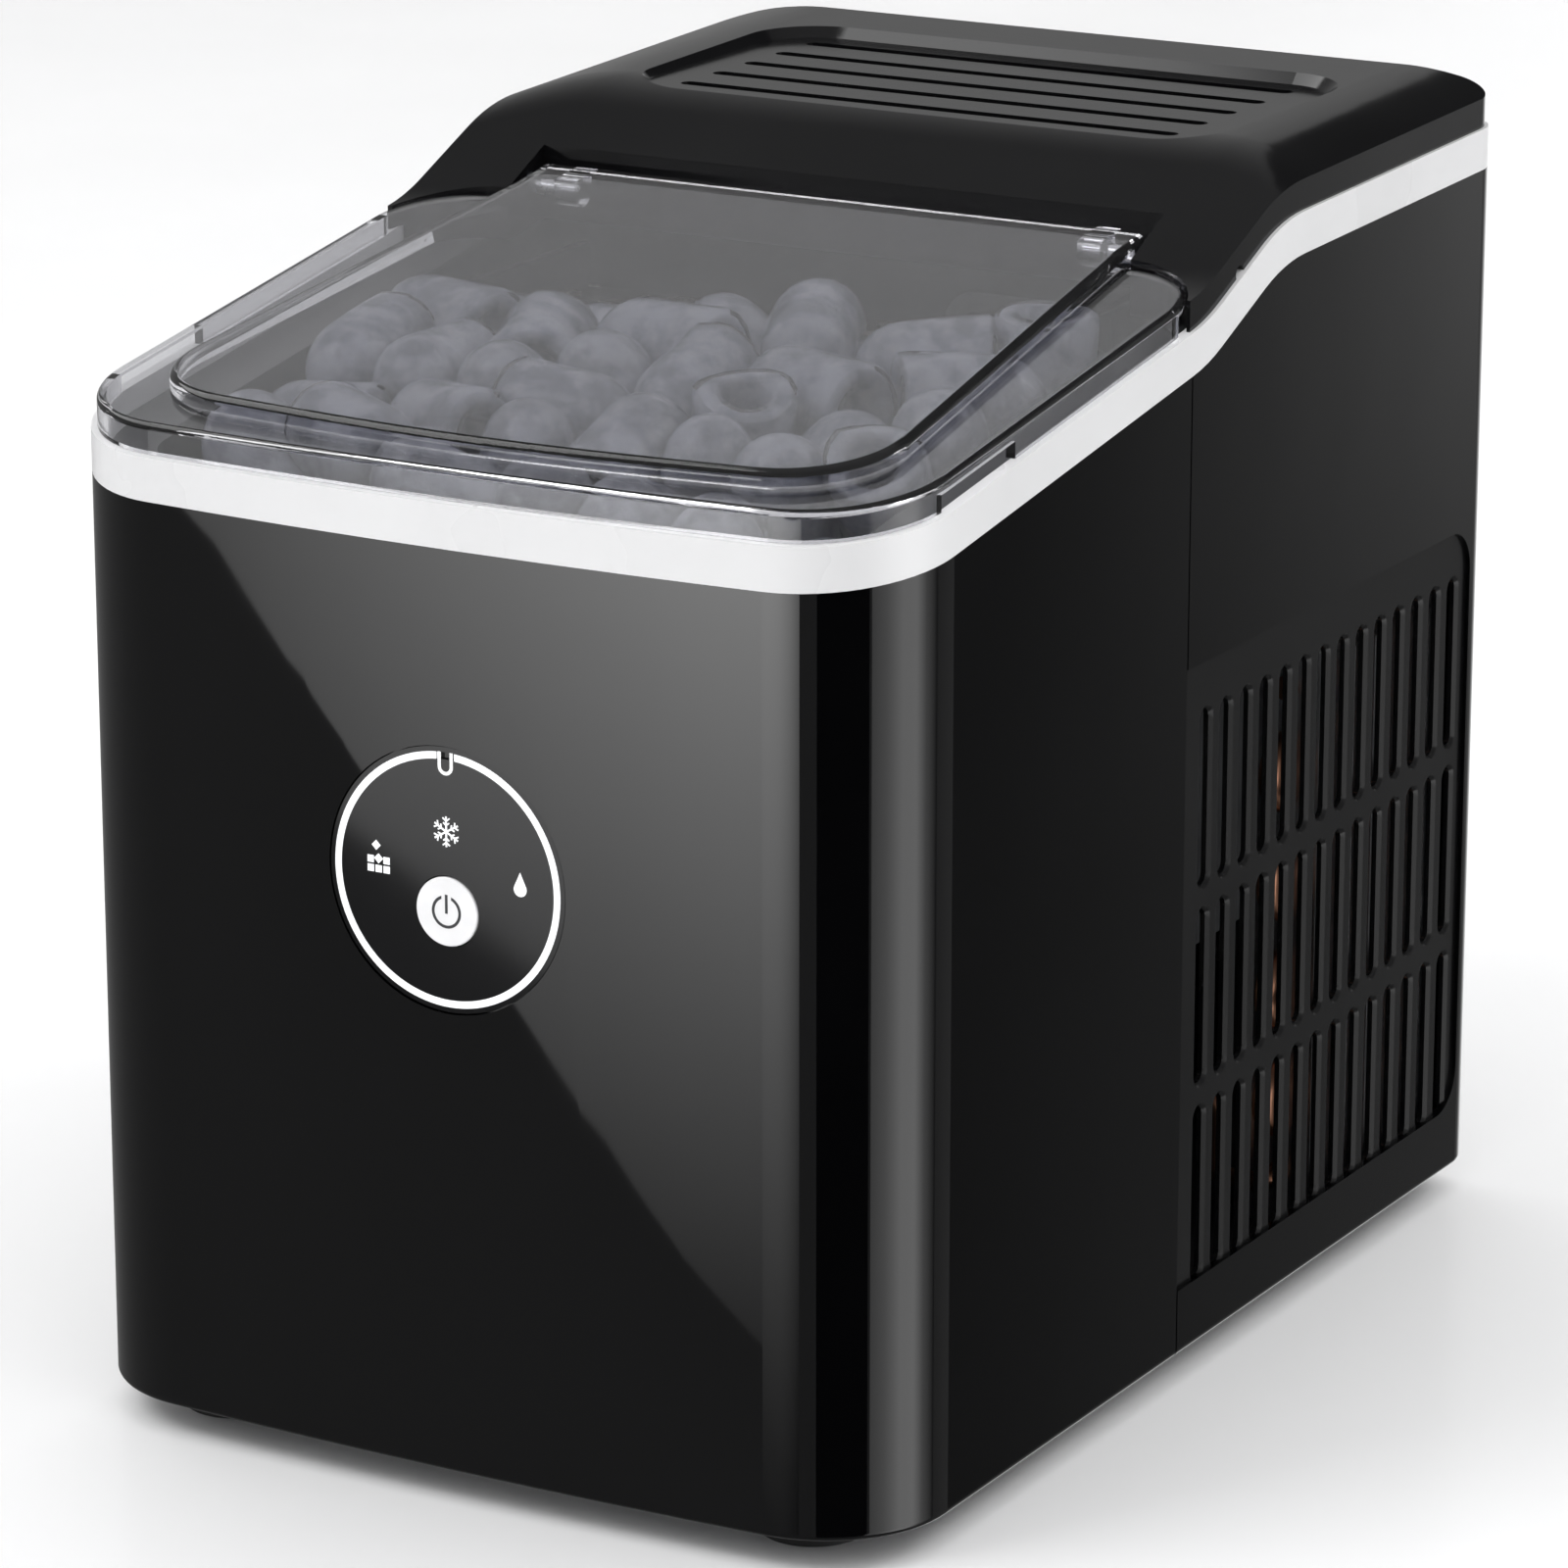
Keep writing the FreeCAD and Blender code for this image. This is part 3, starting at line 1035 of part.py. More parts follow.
def make_compressor_mounts():
    mounts = []
    for x, y in MOUNT_HOLES:
        mounts.append(rod(x, y, PAN_TOP, 5.5, MOUNT_HEIGHT, (0, 0, 1)))
    return Part.makeCompound(mounts)


def pass_heights():
    pitch = (CONDENSER_Z1 - CONDENSER_Z0) / CONDENSER_PASSES
    return [CONDENSER_Z0 + pitch * (i + 0.5) for i in range(CONDENSER_PASSES)]


def make_condenser_fins():
    middle = (CONDENSER_X0 + CONDENSER_X1) / 2
    fin = box(CONDENSER_X0, CONDENSER_X1, 0, FIN_THICK, CONDENSER_Z0, CONDENSER_Z1)
    holes = [rod(middle, -1, z, TUBE_RADIUS, 3, (0, 1, 0)) for z in pass_heights()]
    fin = fin.cut(Part.makeCompound(holes))
    fins = []
    count = int((CONDENSER_Y1 - CONDENSER_Y0 - 8) / FIN_PITCH) + 1
    for i in range(count):
        piece = fin.copy()
        piece.translate(Vector(0, CONDENSER_Y0 + 4 + i * FIN_PITCH, 0))
        fins.append(piece)
    ends = [box(CONDENSER_X0, CONDENSER_X1, y, y + 1.6, PAN_TOP, CONDENSER_Z1 + 3)
            .cut(Part.makeCompound([rod(middle, y - 1, z, TUBE_RADIUS, 4, (0, 1, 0))
                                    for z in pass_heights()]))
            for y in (CONDENSER_Y0, CONDENSER_Y1 - 1.6)]
    return Part.makeCompound(fins + ends)


def make_condenser_tube():
    """One serpentine: straight passes joined by half rings at alternate ends."""
    middle = (CONDENSER_X0 + CONDENSER_X1) / 2
    heights = pass_heights()
    bend = (heights[1] - heights[0]) / 2
    edges = []
    for i, z in enumerate(heights):
        y0, y1 = (CONDENSER_Y0 - 1, CONDENSER_Y1 + 1) if i % 2 == 0 else (CONDENSER_Y1 + 1, CONDENSER_Y0 - 1)
        edges.append(Part.makeLine(Vector(middle, y0, z), Vector(middle, y1, z)))
        if i < len(heights) - 1:
            away = bend if i % 2 == 0 else -bend
            edges.append(Part.Arc(Vector(middle, y1, z), Vector(middle, y1 + away * 0.999, z + bend),
                                  Vector(middle, y1, z + 2 * bend)).toShape())
    section = Part.Wire(Part.makeCircle(TUBE_RADIUS, Vector(middle, CONDENSER_Y0 - 1, heights[0]),
                                        Vector(0, 1, 0)))
    return Part.Wire(edges).makePipeShell([section], True, False)


SHROUD_X = CONDENSER_X0 - 4.0
ROTOR_X = SHROUD_X - 14.0
ROTOR_DEPTH = 11.0
FAN_MOTOR_X = ROTOR_X - 4.0


def make_fan_shroud():
    plate = side_prism(rectangle(CONDENSER_Y0, CONDENSER_Y1, PAN_TOP, FAN_Z + 44, 4), SHROUD_X,
                       CONDENSER_X0)
    plate = plate.cut(rod(SHROUD_X - 1, MACHINE_Y, FAN_Z, FAN_RADIUS + 2, 10, (1, 0, 0)))
    arms = []
    for y in (CONDENSER_Y0, CONDENSER_Y1 - 4):
        arms.append(box(FAN_MOTOR_X - 4, SHROUD_X, y, y + 4, FAN_Z - 6, FAN_Z + 6))
    bridge = box(FAN_MOTOR_X - 4, FAN_MOTOR_X - 1, CONDENSER_Y0, CONDENSER_Y1, FAN_Z - 6, FAN_Z + 6)
    bridge = bridge.cut(rod(FAN_MOTOR_X - 5, MACHINE_Y, FAN_Z, 14, 6, (1, 0, 0)))
    return plate.fuse(arms + [bridge])


def make_fan_motor():
    body = rod(FAN_MOTOR_X - 20, MACHINE_Y, FAN_Z, 14, 19, (1, 0, 0))
    return body.fuse(rod(FAN_MOTOR_X - 1, MACHINE_Y, FAN_Z, 2, 10, (1, 0, 0)))


def make_fan_rotor():
    hub = rod(ROTOR_X, MACHINE_Y, FAN_Z, 11, ROTOR_DEPTH, (1, 0, 0))
    blades = []
    for i in range(FAN_BLADES):
        blade = box(-0.8, 0.8, -7.5, 7.5, 9, FAN_RADIUS)
        blade.rotate(Vector(0, 0, 0), Vector(0, 0, 1), 55)
        blade.translate(Vector(ROTOR_X + ROTOR_DEPTH / 2, 0, 0))
        blade.rotate(Vector(0, 0, 0), Vector(1, 0, 0), 360 / FAN_BLADES * i)
        blade.translate(Vector(0, MACHINE_Y, FAN_Z))
        blades.append(blade)
    rotor = hub.fuse(blades)
    return rotor.cut(rod(ROTOR_X - 5, MACHINE_Y, FAN_Z, 2 + SHAFT_PLAY, 10 + SHAFT_PLAY, (1, 0, 0)))


def make_filter_drier():
    body = rod(DRIER_X, DRIER_Y, 60, 8, 60, (0, 0, 1))
    body = body.makeFillet(5, [edge for edge in body.Edges if edge.Length > 45 and
                               abs(edge.CenterOfMass.z - 90) > 1])
    return body


def make_hot_gas_valve():
    body = rod(DRIER_X, DRIER_Y, VALVE_Z, 7, 14, (0, 0, 1))
    coil = box(DRIER_X - 13, DRIER_X + 13, DRIER_Y - 13, DRIER_Y + 13, VALVE_Z + 14, VALVE_Z + 32)
    return body.fuse(coil)


def make_discharge_tube():
    """Copper tube from the compressor's side, over the drain tube, to the condenser's lowest pass."""
    x = COMPRESSOR_X + COMPRESSOR_RADIUS
    high = DRAIN_Z + 14
    low = pass_heights()[0]
    middle = (CONDENSER_X0 + CONDENSER_X1) / 2
    lane_y = CONDENSER_Y0 - 8
    return bent_tube([(x - 0.1, MACHINE_Y, high), (x + 12, MACHINE_Y, high), (x + 12, lane_y, high),
                      (middle - 14, lane_y, high), (middle - 14, lane_y, low), (middle, lane_y, low),
                      (middle, CONDENSER_Y0 - 1, low)], PIPE_RADIUS, 3.4)


def make_liquid_tube():
    """From the filter drier's top to the hot-gas valve above it."""
    return rod(DRIER_X, DRIER_Y, 120, PIPE_RADIUS, VALVE_Z - 120, (0, 0, 1))


def make_suction_tube():
    """From the evaporator's header past the gearmotor, over the tub and down to the compressor."""
    start_x = TRAY_X1 - 14
    start_y = TRAY_AXIS_Y - 4
    low = HOSE_TOP_Z - HOSE_TO_SUCTION
    side_x = CHEEK_RIGHT + CHEEK + 10
    back_y = TUB_Y1 - TUB_WALL - 6
    high = on_slope(DECK_Z, TUB_Y1) + 6
    lane_y = TUB_Y1 + 14
    top = COMPRESSOR_Z + 3 + COMPRESSOR_HEIGHT
    entry_x = COMPRESSOR_X + 14
    return bent_tube([(start_x, start_y, HEADER_Z + HEADER_THICK), (start_x, start_y, low),
                      (side_x, start_y, low), (side_x, back_y, low), (side_x, back_y, high),
                      (side_x, lane_y, high), (side_x, lane_y, top + 20), (entry_x, lane_y, top + 20),
                      (entry_x, MACHINE_Y, top + 20), (entry_x, MACHINE_Y, top)], PIPE_RADIUS, 5.5)


def make_board_bracket():
    shelf_z = COMPRESSOR_Z + COMPRESSOR_HEIGHT + 32
    shelf = box(-96, -4, MACHINE_Y - 18, REAR_Y - VENT_RECESS - VENT_THICK - 1, shelf_z, shelf_z + 1.5)
    tab = box(-96, -4, REAR_Y - WALL - 2.5, REAR_Y - WALL - 1, shelf_z, FOOT_HEIGHT + 210)
    foot = box(-96, -4, REAR_Y - WALL - 2.5, REAR_Y - WALL, FOOT_HEIGHT + 192, FOOT_HEIGHT + 210)
    return shelf.fuse([tab, foot])


def make_power_board():
    z = COMPRESSOR_Z + COMPRESSOR_HEIGHT + 33.5
    board = box(-92, -10, MACHINE_Y - 14, REAR_Y - 12, z + 4, z + 5.6)
    parts = []
    for x, y, radius in ((-84, MACHINE_Y - 8, 3), (-18, MACHINE_Y - 8, 3), (-84, REAR_Y - 18, 3),
                         (-18, REAR_Y - 18, 3)):
        parts.append(rod(x, y, z, radius, 4, (0, 0, 1)))
    parts.append(box(-70, -42, MACHINE_Y + 2, MACHINE_Y + 26, z + 5.6, z + 28))
    parts.append(box(-34, -18, MACHINE_Y + 2, MACHINE_Y + 14, z + 5.6, z + 20))
    parts.append(rod(-26, MACHINE_Y + 24, z + 5.6, 6, 16, (0, 0, 1)))
    return board.fuse(parts)


def make_power_inlet():
    """Three-pole appliance inlet set flush in the rear wall."""
    x0, x1 = INLET_X - INLET_HALF_X, INLET_X + INLET_HALF_X
    z0, z1 = INLET_Z - INLET_HALF_Z, INLET_Z + INLET_HALF_Z
    body = front_prism(rectangle(x0, x1, z0, z1, 3.0), REAR_Y - 17, REAR_Y - 0.4)
    flange = front_prism(rectangle(x0 - 4, x1 + 4, z0 - 2, z1 + 2, 3.0), REAR_Y - WALL - 2, REAR_Y - WALL)
    socket = front_prism([(x0 + 2, z0 + 2, 2), (x1 - 2, z0 + 2, 2), (x1 - 2, z1 - 5, 2),
                          (x1 - 6, z1 - 2, 2), (x0 + 6, z1 - 2, 2), (x0 + 2, z1 - 5, 2)],
                         REAR_Y - 14, REAR_Y + 1)
    body = body.fuse(flange).cut(socket)
    pins = [box(INLET_X + dx - 1, INLET_X + dx + 1, REAR_Y - 15, REAR_Y - 4, INLET_Z + dz - 2,
                INLET_Z + dz + 2) for dx, dz in ((-7, -2), (0, 2), (7, -2))]
    return body.fuse(pins)


def make_drain_tube():
    y = TUB_Y1 - 18
    return bent_tube([(DRAIN_X, y, TUB_FLOOR_Z), (DRAIN_X, y, DRAIN_Z), (DRAIN_X, REAR_Y - 14, DRAIN_Z)],
                     6.0, 14.0)


def make_drain_port():
    start = REAR_Y - 14
    port = rod(DRAIN_X, start, DRAIN_Z, DRAIN_BORE + 3, REAR_Y - WALL - start, (0, 1, 0))
    port = port.cut(rod(DRAIN_X, start + 3, DRAIN_Z, DRAIN_BORE, 20, (0, 1, 0)))
    foot = box(DRAIN_X - 6, DRAIN_X + 6, start, REAR_Y - WALL - 2.5, PAN_TOP, DRAIN_Z - DRAIN_BORE - 1)
    return port.fuse(foot)


def make_drain_plug():
    start = REAR_Y - 14 + 3
    head = rod(DRAIN_X, start + 0.3, DRAIN_Z, DRAIN_BORE - 0.4, REAR_Y - 0.6 - start - 0.3, (0, 1, 0))
    grip = box(DRAIN_X - 1.2, DRAIN_X + 1.2, REAR_Y - 5, REAR_Y - 0.6, DRAIN_Z - 8, DRAIN_Z + 8)
    ring = tube(DRAIN_X, REAR_Y - 5, DRAIN_Z, DRAIN_BORE, DRAIN_BORE - 2, 5, (0, 1, 0))
    return head.cut(ring.fuse(rod(DRAIN_X, REAR_Y - 5, DRAIN_Z, DRAIN_BORE, 5, (0, 1, 0))).cut(grip))


def make_case_screws():
    """Four countersunk screws that hold the base pan, seen from below."""
    screws = []
    for x in (-HALF + 16, HALF - 16):
        for y in (SEAM_Y - 10, SEAM_Y + 14):
            screws.append(Part.makeCone(3.6, 2.0, 1.6, Vector(x, y, FOOT_HEIGHT - 1.6)))
    return Part.makeCompound(screws)


# ---------------------------------------------------------------- export
def main():
    os.makedirs("parts", exist_ok=True)
    nodes = {
        "front_shell": make_front_shell(),
        "rear_shell": make_rear_shell(),
        "vent_panel_left": make_side_vent(-1),
        "vent_panel_right": make_side_vent(1),
        "vent_panel_rear": make_rear_vent(),
        "base_pan": make_base_pan(),
        "foot_front_left": make_foot(-1, -1),
        "foot_front_right": make_foot(1, -1),
        "foot_rear_left": make_foot(-1, 1),
        "foot_rear_right": make_foot(1, 1),
        "trim_band": make_trim_band(),
        "top_cover": make_top_cover(),
        "lid": make_lid(),
        "lid_hinge_pins": make_hinge_pins(),
        "control_dial": make_dial(),
        "dial_ring": make_dial_ring(),
        "dial_notch_mark": make_notch_mark(),
        "snowflake_icon": make_snowflake_icon(),
        "ice_cubes_icon": make_ice_cubes_icon(),
        "water_drop_icon": make_water_drop_icon(),
        "power_button": make_power_button(),
        "power_symbol": make_power_symbol(),
        "control_board": make_control_board(),
        "board_posts": make_board_posts(),
        "button_switch": make_button_switch(),
        "inner_tub": make_inner_tub(),
        "foam_insulation": make_foam(),
        "ice_basket": make_basket(),
        "water_tray": make_water_tray(),
        "tray_pins": make_tray_pins(),
        "ice_shovel": make_ice_shovel(),
        "evaporator_frame": make_evaporator_frame(),
        "evaporator": make_evaporator(),
        "ice_fingers": make_ice_fingers(),
        "ice_chute": make_ice_chute(),
        "tray_gearmotor": make_tray_gearmotor(),
        "water_pump": make_water_pump(),
        "pump_hose": make_pump_hose(),
        "water_level_sensor": make_level_sensor(),
        "ice_full_sensors": make_ice_full_sensors(),
        "compressor": make_compressor(),
        "compressor_mounts": make_compressor_mounts(),
        "condenser_fins": make_condenser_fins(),
        "condenser_tube": make_condenser_tube(),
        "fan_shroud": make_fan_shroud(),
        "fan_motor": make_fan_motor(),
        "fan_rotor": make_fan_rotor(),
        "filter_drier": make_filter_drier(),
        "hot_gas_valve": make_hot_gas_valve(),
        "discharge_tube": make_discharge_tube(),
        "liquid_tube": make_liquid_tube(),
        "suction_tube": make_suction_tube(),
        "board_bracket": make_board_bracket(),
        "power_board": make_power_board(),
        "power_inlet": make_power_inlet(),
        "drain_tube": make_drain_tube(),
        "drain_port": make_drain_port(),
        "drain_plug": make_drain_plug(),
        "base_screws": make_case_screws(),
    }
    for name, shape in nodes.items():
        shape.exportStep("parts/" + name + ".step")
        bounds = shape.BoundBox
        print("%-20s solids %2d  volume %9.1f  z %.1f..%.1f" % (
            name, len(shape.Solids), shape.Volume, bounds.ZMin, bounds.ZMax))


main()
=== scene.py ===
# %% [markdown]
# # A countertop ice maker
# The casing, lid, cover and machinery arrive as a fixed model, each piece in its real place.
# This lesson gives every piece its finish, fills the basket with ice and lights a small
# studio. Lengths are in metres. X runs to the right of someone facing the dial, +Y is the
# rear and +Z is up, with the origin on the table under the middle of the machine.

# %% Load the machine
import json
import math

import bmesh
import bpy
import numpy as np
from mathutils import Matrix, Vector


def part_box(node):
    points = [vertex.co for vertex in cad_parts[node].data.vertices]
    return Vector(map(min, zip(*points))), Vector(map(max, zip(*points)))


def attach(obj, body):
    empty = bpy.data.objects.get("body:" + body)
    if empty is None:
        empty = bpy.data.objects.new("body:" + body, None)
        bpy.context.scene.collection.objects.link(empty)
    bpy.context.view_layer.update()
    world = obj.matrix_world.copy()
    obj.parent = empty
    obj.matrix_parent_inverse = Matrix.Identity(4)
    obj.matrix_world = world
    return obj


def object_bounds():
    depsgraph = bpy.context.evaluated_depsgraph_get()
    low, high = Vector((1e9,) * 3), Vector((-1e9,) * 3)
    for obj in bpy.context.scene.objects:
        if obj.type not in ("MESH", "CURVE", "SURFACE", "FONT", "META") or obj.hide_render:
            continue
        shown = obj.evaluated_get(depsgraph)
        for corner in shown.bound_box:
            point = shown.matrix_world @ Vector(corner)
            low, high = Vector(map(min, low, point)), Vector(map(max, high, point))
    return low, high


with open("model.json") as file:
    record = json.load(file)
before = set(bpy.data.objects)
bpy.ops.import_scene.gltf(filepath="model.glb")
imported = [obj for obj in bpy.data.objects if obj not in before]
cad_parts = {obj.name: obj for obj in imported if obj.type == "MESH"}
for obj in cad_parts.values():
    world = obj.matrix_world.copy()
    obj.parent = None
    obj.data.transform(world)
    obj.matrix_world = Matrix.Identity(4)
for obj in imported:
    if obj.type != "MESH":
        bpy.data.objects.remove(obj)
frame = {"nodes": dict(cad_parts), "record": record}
machine_box = [list(corner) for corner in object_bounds()]
nodes = frame["nodes"]
low, high = (np.array(corner) for corner in machine_box)
print("machine size", np.round(high - low, 4))

# %% [markdown]
# ## The camera
# A product picture of this kind is taken from far away with a long lens, so that edges
# which are parallel on the machine stay nearly parallel. The camera stands to the right
# of the dial and a little above, and it is turned with Euler angles: first down, then round.

# %% Camera
CAMERA_PLACE = (0.80768, -1.41348, 0.61011)
LOOK_DOWN = 16.308
LOOK_ROUND = 29.887

lens = bpy.data.cameras.new("studio_camera")
lens.lens = 157.7
lens.sensor_width = 36.0
camera = bpy.data.objects.new("studio_camera", lens)
camera.location = CAMERA_PLACE
camera.rotation_euler = (math.radians(90 - LOOK_DOWN), 0, math.radians(LOOK_ROUND))
bpy.context.scene.collection.objects.link(camera)
bpy.context.scene.camera = camera
bpy.context.scene.view_settings.view_transform = "Standard"
print("camera at", tuple(round(v, 3) for v in camera.location))

# %% [markdown]
# ## Two small tools for finishes
# A finish is a graph of nodes. Wiring nodes one by one hides the idea behind it, so a
# `Wire` stands for a socket and the usual operators add Math nodes: `1 - mask * 0.2` reads
# like the formula. A `Finish` owns one material and makes every other node from its type,
# its settings and what goes into its sockets.


# %% Wire and Finish
class Wire:
    """One socket, written in formulas: each operator adds the Math node that works it out."""

    def __init__(self, finish, socket):
        self.finish = finish
        self.socket = socket

    def math(self, operation, *values):
        return self.finish.node("ShaderNodeMath", {"operation": operation},
                                dict(enumerate(values)))

    def __add__(self, other):
        return self.math("ADD", self, other)

    def __rsub__(self, other):
        return self.math("SUBTRACT", other, self)

    def __mul__(self, other):
        return self.math("MULTIPLY", self, other)

    __radd__ = __add__
    __rmul__ = __mul__

    def smoothly(self, start, end):
        """0 below start, 1 above end, with a soft step between them."""
        return self.finish.node(
            "ShaderNodeMapRange", {"interpolation_type": "SMOOTHSTEP"},
            {"Value": self, "From Min": start, "From Max": end})


class Finish:
    """A material and the nodes in it."""

    def __init__(self, name):
        self.material = bpy.data.materials.new(name)
        self.material.use_nodes = True
        self.tree = self.material.node_tree
        self.tree.nodes.clear()
        self.end = self.tree.nodes.new("ShaderNodeOutputMaterial")
        self.place = self.node("ShaderNodeTexCoord", out="Object")

    def node(self, kind, settings=None, inputs=None, out=0):
        """Adds a node: its settings come first, then the values or links of its sockets."""
        made = self.tree.nodes.new(kind)
        for key, value in (settings or {}).items():
            if key == "stops":
                set_stops(made.color_ramp, value)
            else:
                setattr(made, key, value)
        for key, value in (inputs or {}).items():
            if isinstance(value, Wire):
                self.tree.links.new(value.socket, made.inputs[key])
            else:
                made.inputs[key].default_value = value
        return Wire(self, made.outputs[out])

    def noise(self, scale, detail=2.0, roughness=0.5, place=None):
        """Soft random values about 0.5; scale is how many bumps fit in a metre."""
        return self.node("ShaderNodeTexNoise", None,
                         {"Vector": place or self.place, "Scale": scale, "Detail": detail,
                          "Roughness": roughness}, out="Fac")

    def blend(self, share, first, second):
        """The first colour where share is 0 and the second where it is 1."""
        sockets = {"Factor": share, 6: rgba(first), 7: rgba(second)}
        return self.node("ShaderNodeMix", {"data_type": "RGBA"}, sockets, out=2)

    def bump(self, height, depth, under=None):
        """Turns a height between 0 and 1 into a tilt of the surface, depth metres deep."""
        inputs = {"Height": height, "Distance": depth, "Strength": 1.0}
        if under:
            inputs["Normal"] = under
        return self.node("ShaderNodeBump", None, inputs)

    def coat(self, **sockets):
        """The Principled surface; underscores in the names stand for spaces."""
        named = {key.replace("_", " "): value for key, value in sockets.items()}
        return self.node("ShaderNodeBsdfPrincipled", None, named)

    def done(self, shader):
        self.tree.links.new(shader.socket, self.end.inputs["Surface"])
        return self.material


def rgba(colour):
    """A three-number colour gets the fourth number that a colour socket wants."""
    return colour if isinstance(colour, Wire) else (*colour, 1.0)


def set_stops(ramp, stops):
    """Gives a ramp its (position, colour) stops."""
    while len(ramp.elements) < len(stops):
        ramp.elements.new(1.0)
    for element, (position, colour) in zip(ramp.elements, stops):
        element.position = position
        element.color = rgba(colour)


# %% [markdown]
# ## Moulded plastic
# Plastic from a mould is never quite even. A polished mould leaves a wide, shallow ripple
# that bends reflections, and handling leaves patches that are a touch duller. A textured
# mould leaves a fine grain instead. One recipe covers both: patches drive the roughness
# and the colour, and ripple and grain are two bumps, one on top of the other.


# %% Moulded plastic
def moulded(name, colour, roughness, uneven=0.04, tint=1.25, patch=18, ripple=0.0,
            grain=0.0, grain_scale=2600, **extra):
    """Colour runs from colour to tint times it, and roughness by uneven, in soft patches."""
    finish = Finish(name)
    patches = finish.noise(patch, detail=3).smoothly(0.3, 0.7)
    lighter = tuple(min(1.0, c * tint) for c in colour)
    inputs = {
        "Base_Color": finish.blend(patches, colour, lighter),
        "Roughness": patches * uneven + roughness,
    }
    normal = None
    if ripple:
        normal = finish.bump(finish.noise(patch * 1.5, detail=1), ripple)
    if grain:
        normal = finish.bump(finish.noise(grain_scale, detail=1), grain, under=normal)
    if normal:
        inputs["Normal"] = normal
    return finish.done(finish.coat(**inputs, **extra))


finishes = {
    "gloss_black": moulded("gloss_black", (0.0012, 0.0012, 0.0014), 0.018, uneven=0.012,
                           ripple=0.00002),
    "satin_black": moulded("satin_black", (0.009, 0.009, 0.0095), 0.3, uneven=0.08,
                           grain=0.00002),
    "cover_black": moulded("cover_black", (0.003, 0.003, 0.0034), 0.12, uneven=0.04),
    "vent_black": moulded("vent_black", (0.0025, 0.0025, 0.0028), 0.2, uneven=0.05,
                          grain=0.000006),
    "dial_black": moulded("dial_black", (0.003, 0.003, 0.0035), 0.05, uneven=0.02),
    "trim_silver": moulded("trim_silver", (0.66, 0.66, 0.665), 0.26, uneven=0.05,
                           tint=1.06, grain=0.000008),
    "button_white": moulded("button_white", (0.8, 0.8, 0.81), 0.22, tint=1.08,
                            patch=90, grain=0.000006, Metallic=0.1),
    "rubber_black": moulded("rubber_black", (0.012, 0.012, 0.012), 0.7, uneven=0.12,
                            grain=0.00006, grain_scale=1400),
    "tub_grey": moulded("tub_grey", (0.035, 0.036, 0.038), 0.36, uneven=0.1,
                        grain=0.00002),
    "foam": moulded("foam", (0.72, 0.69, 0.6), 0.9, uneven=0.05, grain=0.0004,
                    grain_scale=420),
    "basket_plastic": moulded("basket_plastic", (0.2, 0.205, 0.215), 0.32, uneven=0.08,
                              grain=0.00002),
    "tray_white": moulded("tray_white", (0.72, 0.73, 0.74), 0.24, tint=1.06,
                          grain=0.00001),
    "white_plastic": moulded("white_plastic", (0.7, 0.7, 0.68), 0.4, tint=1.08,
                             grain=0.00003),
    "hose_clear": moulded("hose_clear", (0.62, 0.62, 0.58), 0.3, tint=1.1,
                          patch=60, ripple=0.0001),
    "compressor_black": moulded("compressor_black", (0.008, 0.008, 0.0085), 0.16,
                                uneven=0.1, patch=30, ripple=0.0002),
}
print(len(finishes), "plastics")

# %% [markdown]
# ## Metals
# Tube, pins and sheet are metal all through, so Metallic is 1 and the base colour is the
# colour of the reflection. What tells one metal from another is its surface: drawn tube
# carries fine lines and darker spots of oxide, zinc plating shows pale crystals, and
# polished steel is almost even.


# %% Metals
def metal(name, colour, roughness, stain=0.75, patch=60, lines=0.0, crystals=False):
    """Patches of stain times the colour are also rougher; lines is how deep the drawing
    marks are, and crystals swaps the soft patches for sharp-edged cells."""
    finish = Finish(name)
    if crystals:
        cells = finish.node("ShaderNodeTexVoronoi", None,
                            {"Vector": finish.place, "Scale": patch * 4.0}, out="Distance")
        patches = cells.smoothly(0.1, 0.8)
    else:
        patches = finish.noise(patch, detail=4).smoothly(0.35, 0.75)
    darker = tuple(c * stain for c in colour)
    inputs = {
        "Base_Color": finish.blend(patches, colour, darker),
        "Roughness": patches * 0.14 + roughness,
        "Metallic": 1.0,
    }
    if lines:
        stretched = finish.node("ShaderNodeMapping", None,
                                {"Vector": finish.place, "Scale": (1, 1, 14)})
        marks = finish.noise(520, detail=2, place=stretched)
        inputs["Normal"] = finish.bump(marks, lines)
    return finish.done(finish.coat(**inputs))


finishes.update({
    "steel_pin": metal("steel_pin", (0.66, 0.66, 0.68), 0.16, lines=0.00001),
    "nickel": metal("nickel", (0.72, 0.69, 0.63), 0.2, stain=0.85),
    "copper": metal("copper", (0.5, 0.25, 0.16), 0.3, stain=0.45, lines=0.00002),
    "aluminium": metal("aluminium", (0.74, 0.75, 0.77), 0.34, stain=0.85, lines=0.00002),
    "zinc_steel": metal("zinc_steel", (0.6, 0.61, 0.62), 0.3, stain=0.8, crystals=True),
})
print(len(finishes), "finishes")

# %% [markdown]
# ## Prints and the circuit boards
# The marks on the dial are printed in white behind a clear face; the white ink has a painted
# glow, an emission though no lamp lights it. A circuit board is green lacquer over copper tracks:
# the tracks show as lighter squares of lacquer, which the Brick texture lays out in rows.


# %% Prints and boards
def printed(name, colour, glow):
    """Ink with a fine mottle; glow is the strength of a painted glow that the ink emits, with no
    lamp behind it.
    """
    finish = Finish(name)
    mottle = finish.noise(900, detail=1)
    ink = finish.blend(mottle.smoothly(0.2, 0.8), colour, tuple(c * 0.93 for c in colour))
    # Emission paints a glow into the ink: it shines though no lamp lights it.
    return finish.done(finish.coat(Base_Color=ink, Roughness=mottle * 0.1 + 0.3,
                                   Emission_Color=ink, Emission_Strength=glow))


